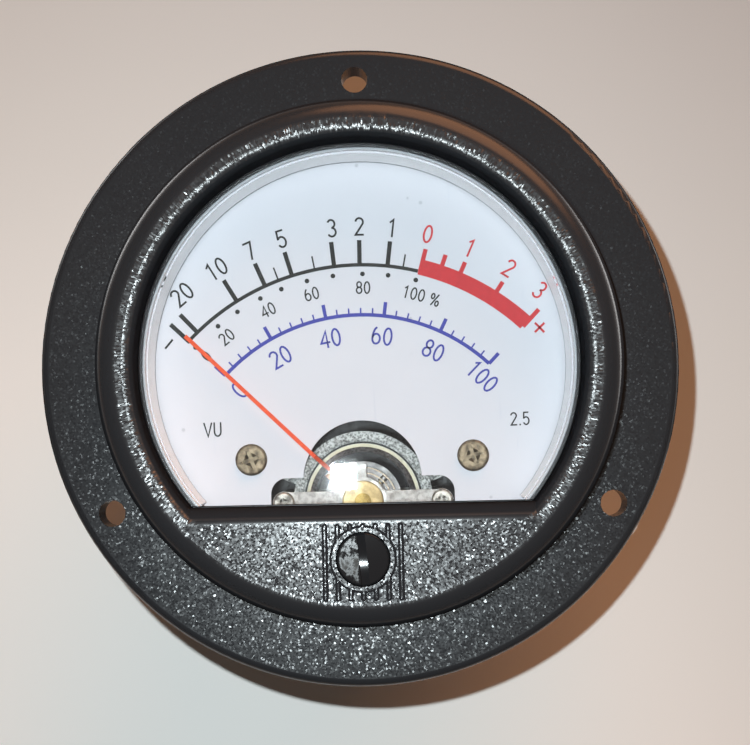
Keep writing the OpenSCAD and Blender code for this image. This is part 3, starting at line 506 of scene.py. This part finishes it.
case_plastic, n, l, shader = finish_nodes("case_plastic")
where = n.new("ShaderNodeTexCoord")
wear = use_group(n, wear_marks)
l.new(where.outputs["Object"], wear.inputs["Vector"])
l.new(blend_colour(n, l, wear.outputs["Smear"], (0.013, 0.0135, 0.015, 1), (0.022, 0.0225, 0.024, 1)),
      shader.inputs["Base Color"])
l.new(remap(n, l, wear.outputs["Smear"], 0, 1, 0.36, 0.48, False), shader.inputs["Roughness"])
shader.inputs["Specular IOR Level"].default_value = 0.25
case_facets = use_group(n, spark_facets, Facets_per_metre=3300.0, Steepness=0.12)
l.new(where.outputs["Object"], case_facets.inputs["Vector"])
unscratched = opposite(n, l, wear.outputs["Scratch"])
tilt_normal(n, l, [(case_facets.outputs["Tilt"], unscratched)], shader)
dress(case_plastic, "rear_case")

# ---------------------------------------------------------------- window
# One moulding of clear polystyrene: a thick polished plate that fills the opening, a frosted rim
# that seats behind the lip, and a frosted skirt down to the dial that shows as a pale strip.
def turned_outward(corners, faces):
    """The faces as they are, or all reversed where they enclose a negative volume."""
    points = np.array(corners)
    fans = [(face[0], face[k], face[k + 1]) for face in faces for k in range(1, len(face) - 1)]
    fans = np.array(fans)
    volume = (points[fans[:, 0]] * np.cross(points[fans[:, 1]], points[fans[:, 2]])).sum()
    return faces if volume > 0 else [face[::-1] for face in faces]


def skin(rings, name, closed=False):
    """Surface over rings of points in millimetres, as a (rings, points, 3) array. The last ring meets
    the first where closed is set; otherwise both ends get flat caps."""
    rows, points, _ = rings.shape
    corner = np.arange(rows * points).reshape(rows, points)
    if closed:
        corner = np.vstack([corner, corner[:1]])
    corner = np.hstack([corner, corner[:, :1]])
    quads = np.stack([corner[:-1, :-1], corner[:-1, 1:], corner[1:, 1:], corner[1:, :-1]], axis=-1)
    faces = quads.reshape(-1, 4).tolist()
    if not closed:
        faces.append(list(range(points))[::-1])
        faces.append(list(range((rows - 1) * points, rows * points)))
    flat = (rings.reshape(-1, 3) * MM).tolist()
    mesh = sheet_mesh(name, flat, turned_outward(flat, faces))
    mesh.shade_smooth()
    mesh.set_sharp_from_angle(angle=math.radians(32))
    return mesh


OUTLINE_POINTS = 144


def d_outline(r, drop, y):
    """Ring at depth y: a circle of radius r cut straight at a distance drop below its middle."""
    dip = math.asin(drop / r)
    turn = np.linspace(-dip, math.pi + dip, OUTLINE_POINTS)
    return np.stack([r * np.cos(turn), np.full(OUTLINE_POINTS, float(y)), r * np.sin(turn)], axis=1)


seat_y = -5.6
lip_y = -7.1
face_y = -9.1
chamfer = 0.1
plate = skin(np.stack([
    d_outline(26.18, 17.2, seat_y), d_outline(26.18, 17.2, lip_y),
    d_outline(27.0, 17.3, lip_y), d_outline(27.0, 17.3, face_y + chamfer), d_outline(26.88, 17.18, face_y),
]), "window_plate")
edge_faces = range(2 * OUTLINE_POINTS, 4 * OUTLINE_POINTS)
plate.polygons.foreach_set("material_index", [int(i in edge_faces) for i in range(len(plate.polygons))])
window_plate = put(plate, "window_plate")
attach(window_plate, "meter")
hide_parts("window")

rim_face_y = lip_y + 0.02
rim = skin(np.stack([
    d_outline(28.05, 19.4, seat_y), d_outline(28.05, 19.4, rim_face_y),
    d_outline(26.4, 17.3, rim_face_y), d_outline(26.4, 17.3, seat_y),
]), "window_rim", closed=True)
skirt_dip = math.asin(17.3 / 26.6)
skirt_turn = np.linspace(-skirt_dip, math.pi + skirt_dip, 120)
skirt_foot_y = -1.0
skirt_section = ((27.0, skirt_foot_y), (27.0, seat_y), (26.4, seat_y), (25.95, skirt_foot_y))
skirt = skin(np.stack([np.stack([[r * math.cos(t), y, r * math.sin(t)] for r, y in skirt_section])
                       for t in skirt_turn]), "window_skirt")
frosted_pieces = [put(rim, "window_rim"), put(skirt, "window_skirt")]
for piece in frosted_pieces:
    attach(piece, "meter")

clear_plastic, n, l, shader = finish_nodes("clear_plastic")
shader.inputs["Base Color"].default_value = (0.97, 0.98, 0.99, 1)
shader.inputs["Transmission Weight"].default_value = 1
shader.inputs["IOR"].default_value = 1.49
where = n.new("ShaderNodeTexCoord")
wear = use_group(n, wear_marks)
l.new(where.outputs["Object"], wear.inputs["Vector"])
l.new(remap(n, l, wear.outputs["Scratch"], 0, 1, 0.016, 0.05, False), shader.inputs["Roughness"])
light_path = n.new("ShaderNodeLightPath")
clear = n.new("ShaderNodeBsdfTransparent")
clear.inputs["Color"].default_value = (0.95, 0.955, 0.96, 1)
window_mix = n.new("ShaderNodeMixShader")
straight = maths(n, l, "MAXIMUM", light_path.outputs["Is Shadow Ray"],
                 light_path.outputs["Is Diffuse Ray"])
l.new(straight, window_mix.inputs["Fac"])
l.new(shader.outputs[0], window_mix.inputs[1])
l.new(clear.outputs[0], window_mix.inputs[2])
l.new(window_mix.outputs[0], n["Material Output"].inputs["Surface"])

# The plate's edge lies against the black wall of the opening and shows it
plate_edge, n, l, shader = finish_nodes("plate_edge")
where = n.new("ShaderNodeTexCoord")
shade = noise(n, l, where.outputs["Object"], 300, 2)
l.new(blend_colour(n, l, shade.outputs["Fac"], (0.008, 0.008, 0.009, 1), (0.016, 0.016, 0.018, 1)),
      shader.inputs["Base Color"])
shader.inputs["Roughness"].default_value = 0.6

# Frosted plastic with its light and shade painted in: the skirt's wall is painted pale beside the dial,
# for the dial's light it mirrors, with a grey painted shadow line at its foot, and the rim's face is
# painted greyer, darker outwards, and black for the shade under the lip
frosted, n, l, shader = finish_nodes("frosted_plastic")
where = n.new("ShaderNodeTexCoord")
axes = n.new("ShaderNodeSeparateXYZ")
l.new(where.outputs["Object"], axes.inputs["Vector"])
radius = length_of(n, l, axes.outputs["X"], axes.outputs["Z"])
cloud = noise(n, l, where.outputs["Object"], 160, 3)
cloudy = remap(n, l, cloud.outputs["Fac"], 0.35, 0.7)
# Painted light: the skirt's wall is near white for the dial's light it mirrors
lit_wall_tone = blend_colour(n, l, cloudy, (0.97, 0.975, 0.98, 1), (0.92, 0.93, 0.94, 1))
# Painted shadow: a grey line at the skirt's foot, where the gap above the dial lies in shade
shadow_at_skirt_foot = remap(n, l, axes.outputs["Y"], -1.35 * MM, -1.2 * MM)
lit_wall_tone = blend_colour(n, l, shadow_at_skirt_foot, lit_wall_tone, (0.30, 0.31, 0.33, 1))
outwards = remap(n, l, radius, 26.4 * MM, 26.6 * MM)
# Painted shade: the rim's face is greyer than the wall and darker outwards
shaded_face_tone = blend_colour(n, l, outwards, (0.52, 0.53, 0.55, 1), (0.36, 0.375, 0.40, 1))
# Painted shade: the rim's face turns black under the lip
shade_under_lip = remap(n, l, radius, 26.62 * MM, 26.68 * MM)
shaded_face_tone = blend_colour(n, l, shade_under_lip, shaded_face_tone, (0.012, 0.012, 0.014, 1))
on_face = remap(n, l, axes.outputs["Y"], -7.07 * MM, -7.0 * MM, 1, 0)
l.new(blend_colour(n, l, on_face, lit_wall_tone, shaded_face_tone), shader.inputs["Base Color"])
shader.inputs["Roughness"].default_value = 0.35
window_plate.data.materials.append(clear_plastic)
window_plate.data.materials.append(plate_edge)
for piece in frosted_pieces:
    piece.data.materials.append(frosted)

# ---------------------------------------------------------------- dial
# White-painted aluminium plate, faintly blue, screwed to the movement. The paint is satin with a
# very fine orange-peel, a few specks of dust and hair scratches.
pivot_z = (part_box("core_magnet")[0].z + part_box("core_magnet")[1].z) / 2
dial_face_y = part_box("dial_plate")[0].y
ink_face_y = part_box("black_scale_print")[0].y

dial_paint, n, l, shader = finish_nodes("dial_paint")
where = n.new("ShaderNodeTexCoord")
wear = use_group(n, wear_marks, Specks=620.0, Amount=0.035)
l.new(where.outputs["Object"], wear.inputs["Vector"])
clean = blend_colour(n, l, wear.outputs["Smear"], (0.665, 0.665, 0.705, 1), (0.645, 0.648, 0.690, 1))
scratched = maths(n, l, "MULTIPLY", wear.outputs["Scratch"], 0.35)
marked = blend_colour(n, l, scratched, clean, (0.55, 0.57, 0.64, 1))
dusty = maths(n, l, "MULTIPLY", wear.outputs["Dust"], 0.6)
l.new(blend_colour(n, l, dusty, marked, (0.42, 0.43, 0.46, 1)), shader.inputs["Base Color"])
shader.inputs["Roughness"].default_value = 0.5
shader.inputs["Specular IOR Level"].default_value = 0.12
peel = noise(n, l, where.outputs["Object"], 3500, 2)
bump(n, l, peel.outputs["Fac"], 0.004 * MM, shader)
dress(dial_paint, "dial_plate")


# ---------------------------------------------------------------- printed scales and figures
# Screen-printed inks: black and red for the level scale, blue for the even scale. The figures and
# signs stand on their own circles round the pivot.
def ink(name, colour):
    """Printed ink: even colour with the faint unevenness of a screen print."""
    material, n, l, shader = finish_nodes(name)
    where = n.new("ShaderNodeTexCoord")
    film = noise(n, l, where.outputs["Object"], 2200, 2)
    darker = tuple(c * 0.86 for c in colour[:3]) + (1,)
    l.new(blend_colour(n, l, remap(n, l, film.outputs["Fac"], 0.35, 0.65), darker, colour),
          shader.inputs["Base Color"])
    l.new(remap(n, l, film.outputs["Fac"], 0.3, 0.7, 0.45, 0.6), shader.inputs["Roughness"])
    shader.inputs["Specular IOR Level"].default_value = 0.1
    return material


black_ink = ink("black_ink", (0.020, 0.022, 0.021, 1))
red_ink = ink("red_ink", (0.62, 0.045, 0.052, 1))
blue_ink = ink("blue_ink", (0.060, 0.068, 0.36, 1))
dress(black_ink, "black_scale_print")
dress(red_ink, "red_scale_print")
dress(blue_ink, "blue_scale_print")


def bow(middle_x, middle_z, across, upward, start, stop):
    """Points along an ellipse's arc, from start to stop in degrees from the right."""
    turn = np.radians(np.linspace(start, stop, 2 + int(abs(stop - start) / 14)))
    return list(zip(middle_x + across * np.cos(turn), middle_z + upward * np.sin(turn)))


# Middle lines of the figures' strokes, for a figure one unit tall whose middle is at the origin
STROKES = {
    "0": [bow(0, 0, 0.205, 0.45, 0, 360)],
    "1": [[(-0.15, 0.27), (0.03, 0.44), (0.03, -0.5)]],
    "2": [bow(0, 0.235, 0.2, 0.215, 172, -38) + [(-0.2, -0.45), (0.24, -0.45)]],
    "3": [bow(-0.01, 0.235, 0.19, 0.215, 155, -90), bow(-0.01, -0.215, 0.21, 0.235, 90, -155)],
    "4": [[(0.11, -0.5), (0.11, 0.42), (-0.23, -0.2), (0.27, -0.2)]],
    "5": [[(0.2, 0.45), (-0.15, 0.45), (-0.18, 0.03)] + bow(-0.005, -0.17, 0.21, 0.28, 135, -155)],
    "6": [bow(0, -0.18, 0.205, 0.27, 0, 360), bow(0.06, -0.14, 0.265, 0.6, 180, 103)],
    "7": [[(-0.22, 0.45), (0.21, 0.45), (-0.05, -0.5)]],
    "8": [bow(0, 0.235, 0.175, 0.215, 0, 360), bow(0, -0.215, 0.205, 0.235, 0, 360)],
    "%": [bow(-0.22, 0.24, 0.12, 0.2, 0, 360), bow(0.22, -0.24, 0.12, 0.2, 0, 360),
          [(0.2, 0.5), (-0.2, -0.5)]],
    ".": [[(0, -0.5), (0, -0.38)]],
    "V": [[(-0.27, 0.5), (0, -0.46), (0.27, 0.5)]],
    "U": [[(-0.22, 0.5), (-0.22, -0.12)] + bow(0, -0.14, 0.22, 0.31, 180, 360) + [(0.22, 0.5)]],
    "-": [[(-0.5, 0), (0.5, 0)]],
    "+": [[(-0.5, 0), (0.5, 0)], [(0, -0.5), (0, 0.5)]],
}
# Widths along the line, for a figure one unit tall
ROOM = {"%": 0.9, ".": 0.3, "V": 0.66, "U": 0.66}
USUAL_ROOM = 0.62


def ribbon(points, width):
    """Both edges of a stroke: each point moves half the width to either side, square to the mean
    direction of its neighbours. A stroke that ends where it starts has no ends."""
    path = np.array(points)
    endless = np.allclose(path[0], path[-1])
    if endless:
        path = path[:-1]
    ahead = np.roll(path, -1, axis=0) - path
    if not endless:
        ahead[-1] = ahead[-2]
    ahead /= np.linalg.norm(ahead, axis=1, keepdims=True)
    behind = np.roll(ahead, 1, axis=0)
    if not endless:
        behind[0] = ahead[0]
    mean = ahead + behind
    mean /= np.linalg.norm(mean, axis=1, keepdims=True)
    reach = width / 2 / np.maximum((mean * ahead).sum(axis=1), 0.45)
    side = np.stack([-mean[:, 1], mean[:, 0]], axis=1) * reach[:, None]
    return path + side, path - side, endless


def printed(figures, height, weight, material, name):
    """Printed figures, as (text, x, z, turn): millimetres from the pivot, and degrees clockwise.
    The weight is the width of a stroke."""
    corners, faces = [], []
    for text, text_x, text_z, angle in figures:
        turn = math.radians(angle)
        room = [ROOM.get(figure, USUAL_ROOM) for figure in text]
        for k, figure in enumerate(text):
            shift = sum(room[:k]) + room[k] / 2 - sum(room) / 2
            for stroke in STROKES[figure]:
                drawn = [((px + shift) * height, pz * height) for px, pz in stroke]
                left, right, endless = ribbon(drawn, weight)
                edges = np.stack([left, right, right, left])
                depth = np.array([ink_face_y, ink_face_y, dial_face_y, dial_face_y]) / MM
                along, out = edges[..., 0], edges[..., 1]
                x = text_x + along * math.cos(turn) + out * math.sin(turn)
                z = text_z + out * math.cos(turn) - along * math.sin(turn) + pivot_z / MM
                first = len(corners)
                count = len(left)
                y = np.repeat(depth[:, None], count, axis=1)
                corners += (np.stack([x, y, z], axis=-1).reshape(-1, 3) * MM).tolist()
                for i in range(count if endless else count - 1):
                    j = (i + 1) % count
                    for a in range(4):
                        b = (a + 1) % 4
                        faces.append((first + a * count + i, first + b * count + i,
                                      first + b * count + j, first + a * count + j))
                if not endless:
                    faces.append(tuple(first + a * count for a in (3, 2, 1, 0)))
                    faces.append(tuple(first + a * count + count - 1 for a in range(4)))
    print_piece = put(sheet_mesh(name, corners, turned_outward(corners, faces)), name)
    print_piece.data.materials.append(material)
    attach(print_piece, "meter")


# The whole print sits a little turned on the plate, its top to the left
print_turn = 1.4


def on_circle(radius, *figures):
    """Texts that stand on one circle round the pivot, given as (text, degrees from upright)."""
    placed = []
    for text, from_upright in figures:
        angle = from_upright - print_turn
        turn = math.radians(angle)
        placed.append((text, radius * math.sin(turn), radius * math.cos(turn), angle))
    return placed


level_r = 34.95
printed(on_circle(level_r, ("20", -38.75), ("10", -29.85), ("7", -21.95), ("5", -14.85), ("3", -4.05),
                  ("2", 1.75), ("1", 8.65)),
        2.38, 0.25, black_ink, "level_figures")
printed(on_circle(level_r, ("0", 16.25), ("1", 25.55), ("2", 34.75), ("3", 42.6)),
        2.38, 0.25, red_ink, "over_figures")
printed(on_circle(27.1, ("0", -44.75), ("20", -37.25), ("40", -23.95), ("60", -11.45), ("80", 2.55),
                  ("100", 16.35), ("%", 22.25)),
        1.62, 0.19, black_ink, "percent_figures")
printed(on_circle(21.05, ("0", -45.65), ("20", -27.35), ("40", -8.85), ("60", 9.15), ("80", 27.65))
        + on_circle(21.85, ("100", 46.35)),
        2.34, 0.25, blue_ink, "even_figures")
printed(on_circle(31.7, ("-", -48.55)), 1.5, 0.26, black_ink, "minus_sign")
printed(on_circle(31.4, ("+", 48.15)), 1.7, 0.28, red_ink, "plus_sign")
printed([("VU", -18.85, 9.4, -print_turn)], 1.85, 0.2, black_ink, "unit_sign")
printed([("2.5", 20.05, 10.0, -print_turn)], 1.7, 0.18, black_ink, "accuracy_figure")

# ---------------------------------------------------------------- metals
# Turned, plated, cast and stamped metals of the movement, its screws and the terminals. Each has
# its own tarnish, and the turned ones have fine lines round the axis they were turned on.
def metal(name, colour, roughness, centre=(0, 0), grain=600.0, depth=0.002, dark=0.6, lathe=0.0):
    """A metal with cloudy tarnish, a fine grain and, where lathe is set, lines round the centre.
    Grain and lathe are per metre, and the centre, as (x, z), and depth are in millimetres."""
    material, n, l, shader = finish_nodes(name)
    shader.inputs["Metallic"].default_value = 1
    at = centred(n, l, *centre)
    tarnish = noise(n, l, at, grain, 4, 0.6)
    fine = noise(n, l, at, 9000, 2)
    mask = remap(n, l, tarnish.outputs["Fac"], 0.35, 0.7)
    darker = tuple(c * dark for c in colour[:3]) + (1,)
    l.new(blend_colour(n, l, mask, colour, darker), shader.inputs["Base Color"])
    l.new(remap(n, l, mask, 0, 1, roughness, roughness + 0.15, False), shader.inputs["Roughness"])
    height = fine.outputs["Fac"]
    if lathe:
        turned = use_group(n, lathe_lines, Lines_per_metre=lathe)
        l.new(at, turned.inputs["Vector"])
        height = maths(n, l, "ADD", maths(n, l, "MULTIPLY", height, 0.3), turned.outputs["Height"])
    bump(n, l, height, depth * MM, shader)
    return material


pivot_mm = (0, pivot_z / MM)
for name, colour, roughness, make, pieces in (
    ("nickel_screw", (0.21, 0.165, 0.11, 1), 0.5, {"grain": 1400.0, "dark": 0.35}, ("dial_screws",)),
    ("bridge_screw", (0.46, 0.43, 0.38, 1), 0.5, {"grain": 1400.0, "dark": 0.3}, ("bridge_screws",)),
    ("steel_screw", (0.50, 0.48, 0.45, 1), 0.45, {}, ("case_screws", "frame_screws")),
    ("frame_casting", (0.47, 0.475, 0.455, 1), 0.55, {"grain": 3600.0, "depth": 0.05, "dark": 0.2},
     ("movement_frame",)),
    ("core_steel", (0.60, 0.605, 0.60, 1), 0.68,
     {"centre": pivot_mm, "depth": 0.02, "lathe": 5000.0, "dark": 0.75}, ("core_magnet",)),
    ("support_alloy", (0.34, 0.34, 0.35, 1), 0.55, {"depth": 0.02}, ("core_supports",)),
    ("bridge_alloy", (0.62, 0.615, 0.59, 1), 0.68, {"grain": 1800.0, "depth": 0.02, "dark": 0.75},
     ("front_bridge", "rear_bridge")),
    ("brass", (0.74, 0.60, 0.33, 1), 0.62, {"centre": pivot_mm, "lathe": 8000.0, "dark": 0.7},
     ("front_lock_nut", "rear_lock_nut", "zero_arm_bush", "hairspring_collets", "balance_cross")),
    ("screw_brass", (0.44, 0.31, 0.10, 1), 0.55, {"centre": pivot_mm, "dark": 0.5},
     ("front_jewel_screw", "rear_jewel_screw")),
    ("terminal_brass", (0.78, 0.60, 0.30, 1), 0.35, {},
     ("terminal_studs", "terminal_washers", "terminal_clamp_nuts", "terminal_wire_nuts")),
    ("tinned_tag", (0.70, 0.68, 0.62, 1), 0.4, {"depth": 0.005}, ("outer_solder_tags", "inner_solder_tags")),
    ("arm_plate", (0.50, 0.49, 0.46, 1), 0.5, {}, ("zero_arm", "rear_spring_arm")),
    ("spring_bronze", (0.30, 0.24, 0.17, 1), 0.4, {}, ("front_hairspring", "rear_hairspring")),
    ("former_alloy", (0.50, 0.51, 0.52, 1), 0.5, {}, ("coil_former", "front_pivot", "rear_pivot")),
    ("weight_wire", (0.30, 0.29, 0.28, 1), 0.5, {}, ("balance_weights",)),
):
    dress(metal(name, colour, roughness, **make), *pieces)

# The yoke's face is turned bright between a duller chamfer and, past its outer edge, a painted shadow in
# black where the gap lies in shade
yoke, n, l, shader = finish_nodes("polished_yoke")
shader.inputs["Metallic"].default_value = 1
at = centred(n, l, *pivot_mm)
axes = n.new("ShaderNodeSeparateXYZ")
l.new(at, axes.inputs["Vector"])
from_pivot = length_of(n, l, axes.outputs["X"], axes.outputs["Z"])
face_in, face_out = 6.86 * MM, 7.3 * MM
turned_face = maths(n, l, "MULTIPLY", within(n, l, from_pivot, face_in, face_out, 0.04 * MM),
                    remap(n, l, axes.outputs["Y"], 2.5 * MM, 2.7 * MM, 1, 0))
dull = remap(n, l, noise(n, l, at, 2400, 3).outputs["Fac"], 0.35, 0.65)
dull_tone_and_shadow = blend_colour(n, l, dull, (0.20, 0.20, 0.205, 1), (0.42, 0.42, 0.42, 1))
# Painted shadow: black past the turned face, where the gap beside it lies in shade
shadow_past_face = remap(n, l, from_pivot, face_out, face_out + 0.06 * MM)
dull_tone_and_shadow = blend_colour(n, l, shadow_past_face, dull_tone_and_shadow, (0.02, 0.02, 0.02, 1))
l.new(blend_colour(n, l, turned_face, dull_tone_and_shadow, (0.47, 0.44, 0.335, 1)), shader.inputs["Base Color"])
l.new(remap(n, l, turned_face, 0, 1, 0.55, 0.64, False), shader.inputs["Roughness"])
turned = use_group(n, lathe_lines, Lines_per_metre=9000.0)
l.new(at, turned.inputs["Vector"])
bump(n, l, turned.outputs["Height"], 0.002 * MM, shader)
dress(yoke, "yoke_ring")

# ---------------------------------------------------------------- coil, leads and small soft parts
# Fine enamelled copper wound in layers on its former, insulated leads with a slight bloom, red
# jewels and the insulating washer behind the rear bridge.
copper, n, l, shader = finish_nodes("copper_winding")
shader.inputs["Metallic"].default_value = 0.7
where = n.new("ShaderNodeTexCoord")
turns = n.new("ShaderNodeTexWave")
turns.wave_type = "BANDS"
turns.bands_direction = "Z"
turns.inputs["Scale"].default_value = 1500
turns.inputs["Distortion"].default_value = 0.4
l.new(where.outputs["Object"], turns.inputs["Vector"])
l.new(blend_colour(n, l, turns.outputs["Fac"], (0.13, 0.035, 0.012, 1), (0.50, 0.16, 0.05, 1)),
      shader.inputs["Base Color"])
shader.inputs["Roughness"].default_value = 0.3
bump(n, l, turns.outputs["Fac"], 0.03 * MM, shader)
dress(copper, "coil_winding")


def sleeve(name, colour):
    """Soft wire insulation with a slight bloom."""
    material, n, l, shader = finish_nodes(name)
    where = n.new("ShaderNodeTexCoord")
    cloudy_patches = noise(n, l, where.outputs["Object"], 700, 3)
    paler = tuple(min(1.0, c * 1.35 + 0.01) for c in colour[:3]) + (1,)
    l.new(blend_colour(n, l, remap(n, l, cloudy_patches.outputs["Fac"], 0.4, 0.7), colour, paler),
          shader.inputs["Base Color"])
    shader.inputs["Roughness"].default_value = 0.45
    bump(n, l, cloudy_patches.outputs["Fac"], 0.01 * MM, shader)
    return material


dress(sleeve("black_sleeve", (0.02, 0.02, 0.022, 1)), "frame_lead")
dress(sleeve("red_sleeve", (0.42, 0.02, 0.015, 1)), "spring_lead")
dress(sleeve("insulator", (0.45, 0.38, 0.26, 1)), "rear_insulator")

jewel, n, l, shader = finish_nodes("jewel")
where = n.new("ShaderNodeTexCoord")
glow = noise(n, l, where.outputs["Object"], 2500, 2)
l.new(blend_colour(n, l, glow.outputs["Fac"], (0.45, 0.02, 0.05, 1), (0.75, 0.10, 0.14, 1)),
      shader.inputs["Base Color"])
shader.inputs["Roughness"].default_value = 0.05
shader.inputs["Coat Weight"].default_value = 0.6
dress(jewel, "jewels")

# ---------------------------------------------------------------- pointer
# Thin stamped pointer sprayed orange-red, with its grain and a slight lump of paint here and there.
pointer_paint, n, l, shader = finish_nodes("pointer_paint")
where = n.new("ShaderNodeTexCoord")
spray = noise(n, l, where.outputs["Object"], 2600, 3)
lump = remap(n, l, spray.outputs["Fac"], 0.35, 0.7)
l.new(blend_colour(n, l, lump, (0.80, 0.105, 0.034, 1), (0.68, 0.07, 0.024, 1)), shader.inputs["Base Color"])
shader.inputs["Roughness"].default_value = 0.5
shader.inputs["Specular IOR Level"].default_value = 0.12
bump(n, l, spray.outputs["Fac"], 0.01 * MM, shader)
dress(pointer_paint, "pointer")

# ---------------------------------------------------------------- zero adjuster
# Turned and polished black plastic screw with a rounded edge and a slot. The left half of its head's
# face is lighter and cloudy, rougher and less glossy, and the slot's floor is worn hollow.
polished_black, n, l, shader = finish_nodes("polished_black")
at = centred(n, l, 0, adjuster_z / MM)
side_parts = n.new("ShaderNodeSeparateXYZ")
l.new(at, side_parts.inputs["Vector"])
cloud = noise(n, l, at, 620, 5, 0.7)
on_face = remap(n, l, side_parts.outputs["Y"], screw_low.y + 0.35 * MM, screw_low.y + 0.5 * MM, 1, 0)
left_half = remap(n, l, side_parts.outputs["X"], -0.62 * MM, -0.5 * MM, 1, 0)
from_middle = length_of(n, l, side_parts.outputs["X"], side_parts.outputs["Z"])
# The left half of the head's face: lighter, cloudy, rougher and less glossy
cloudy_patches = maths(n, l, "MULTIPLY", maths(n, l, "MULTIPLY", left_half, on_face),
              maths(n, l, "MULTIPLY", remap(n, l, cloud.outputs["Fac"], 0.45, 0.68),
                    remap(n, l, from_middle, 2.4 * MM, 3.0 * MM, 1, 0)))
l.new(blend_colour(n, l, cloudy_patches, (0.010, 0.010, 0.011, 1), (0.045, 0.045, 0.043, 1)),
      shader.inputs["Base Color"])
l.new(remap(n, l, cloudy_patches, 0, 1, 0.05, 0.5, False), shader.inputs["Roughness"])
l.new(remap(n, l, cloudy_patches, 0, 1, 0.5, 0.13, False), shader.inputs["Specular IOR Level"])
hollow_z = -1.9 * MM
from_hollow = maths(n, l, "SUBTRACT", side_parts.outputs["Z"], hollow_z)
hollow = n.new("ShaderNodeCombineXYZ")
l.new(maths(n, l, "MULTIPLY", from_hollow, 45.0), hollow.inputs["Z"])
tilt_normal(n, l, [(hollow.outputs["Vector"], opposite(n, l, on_face))], shader)
dress(polished_black, "zero_adjust_screw")
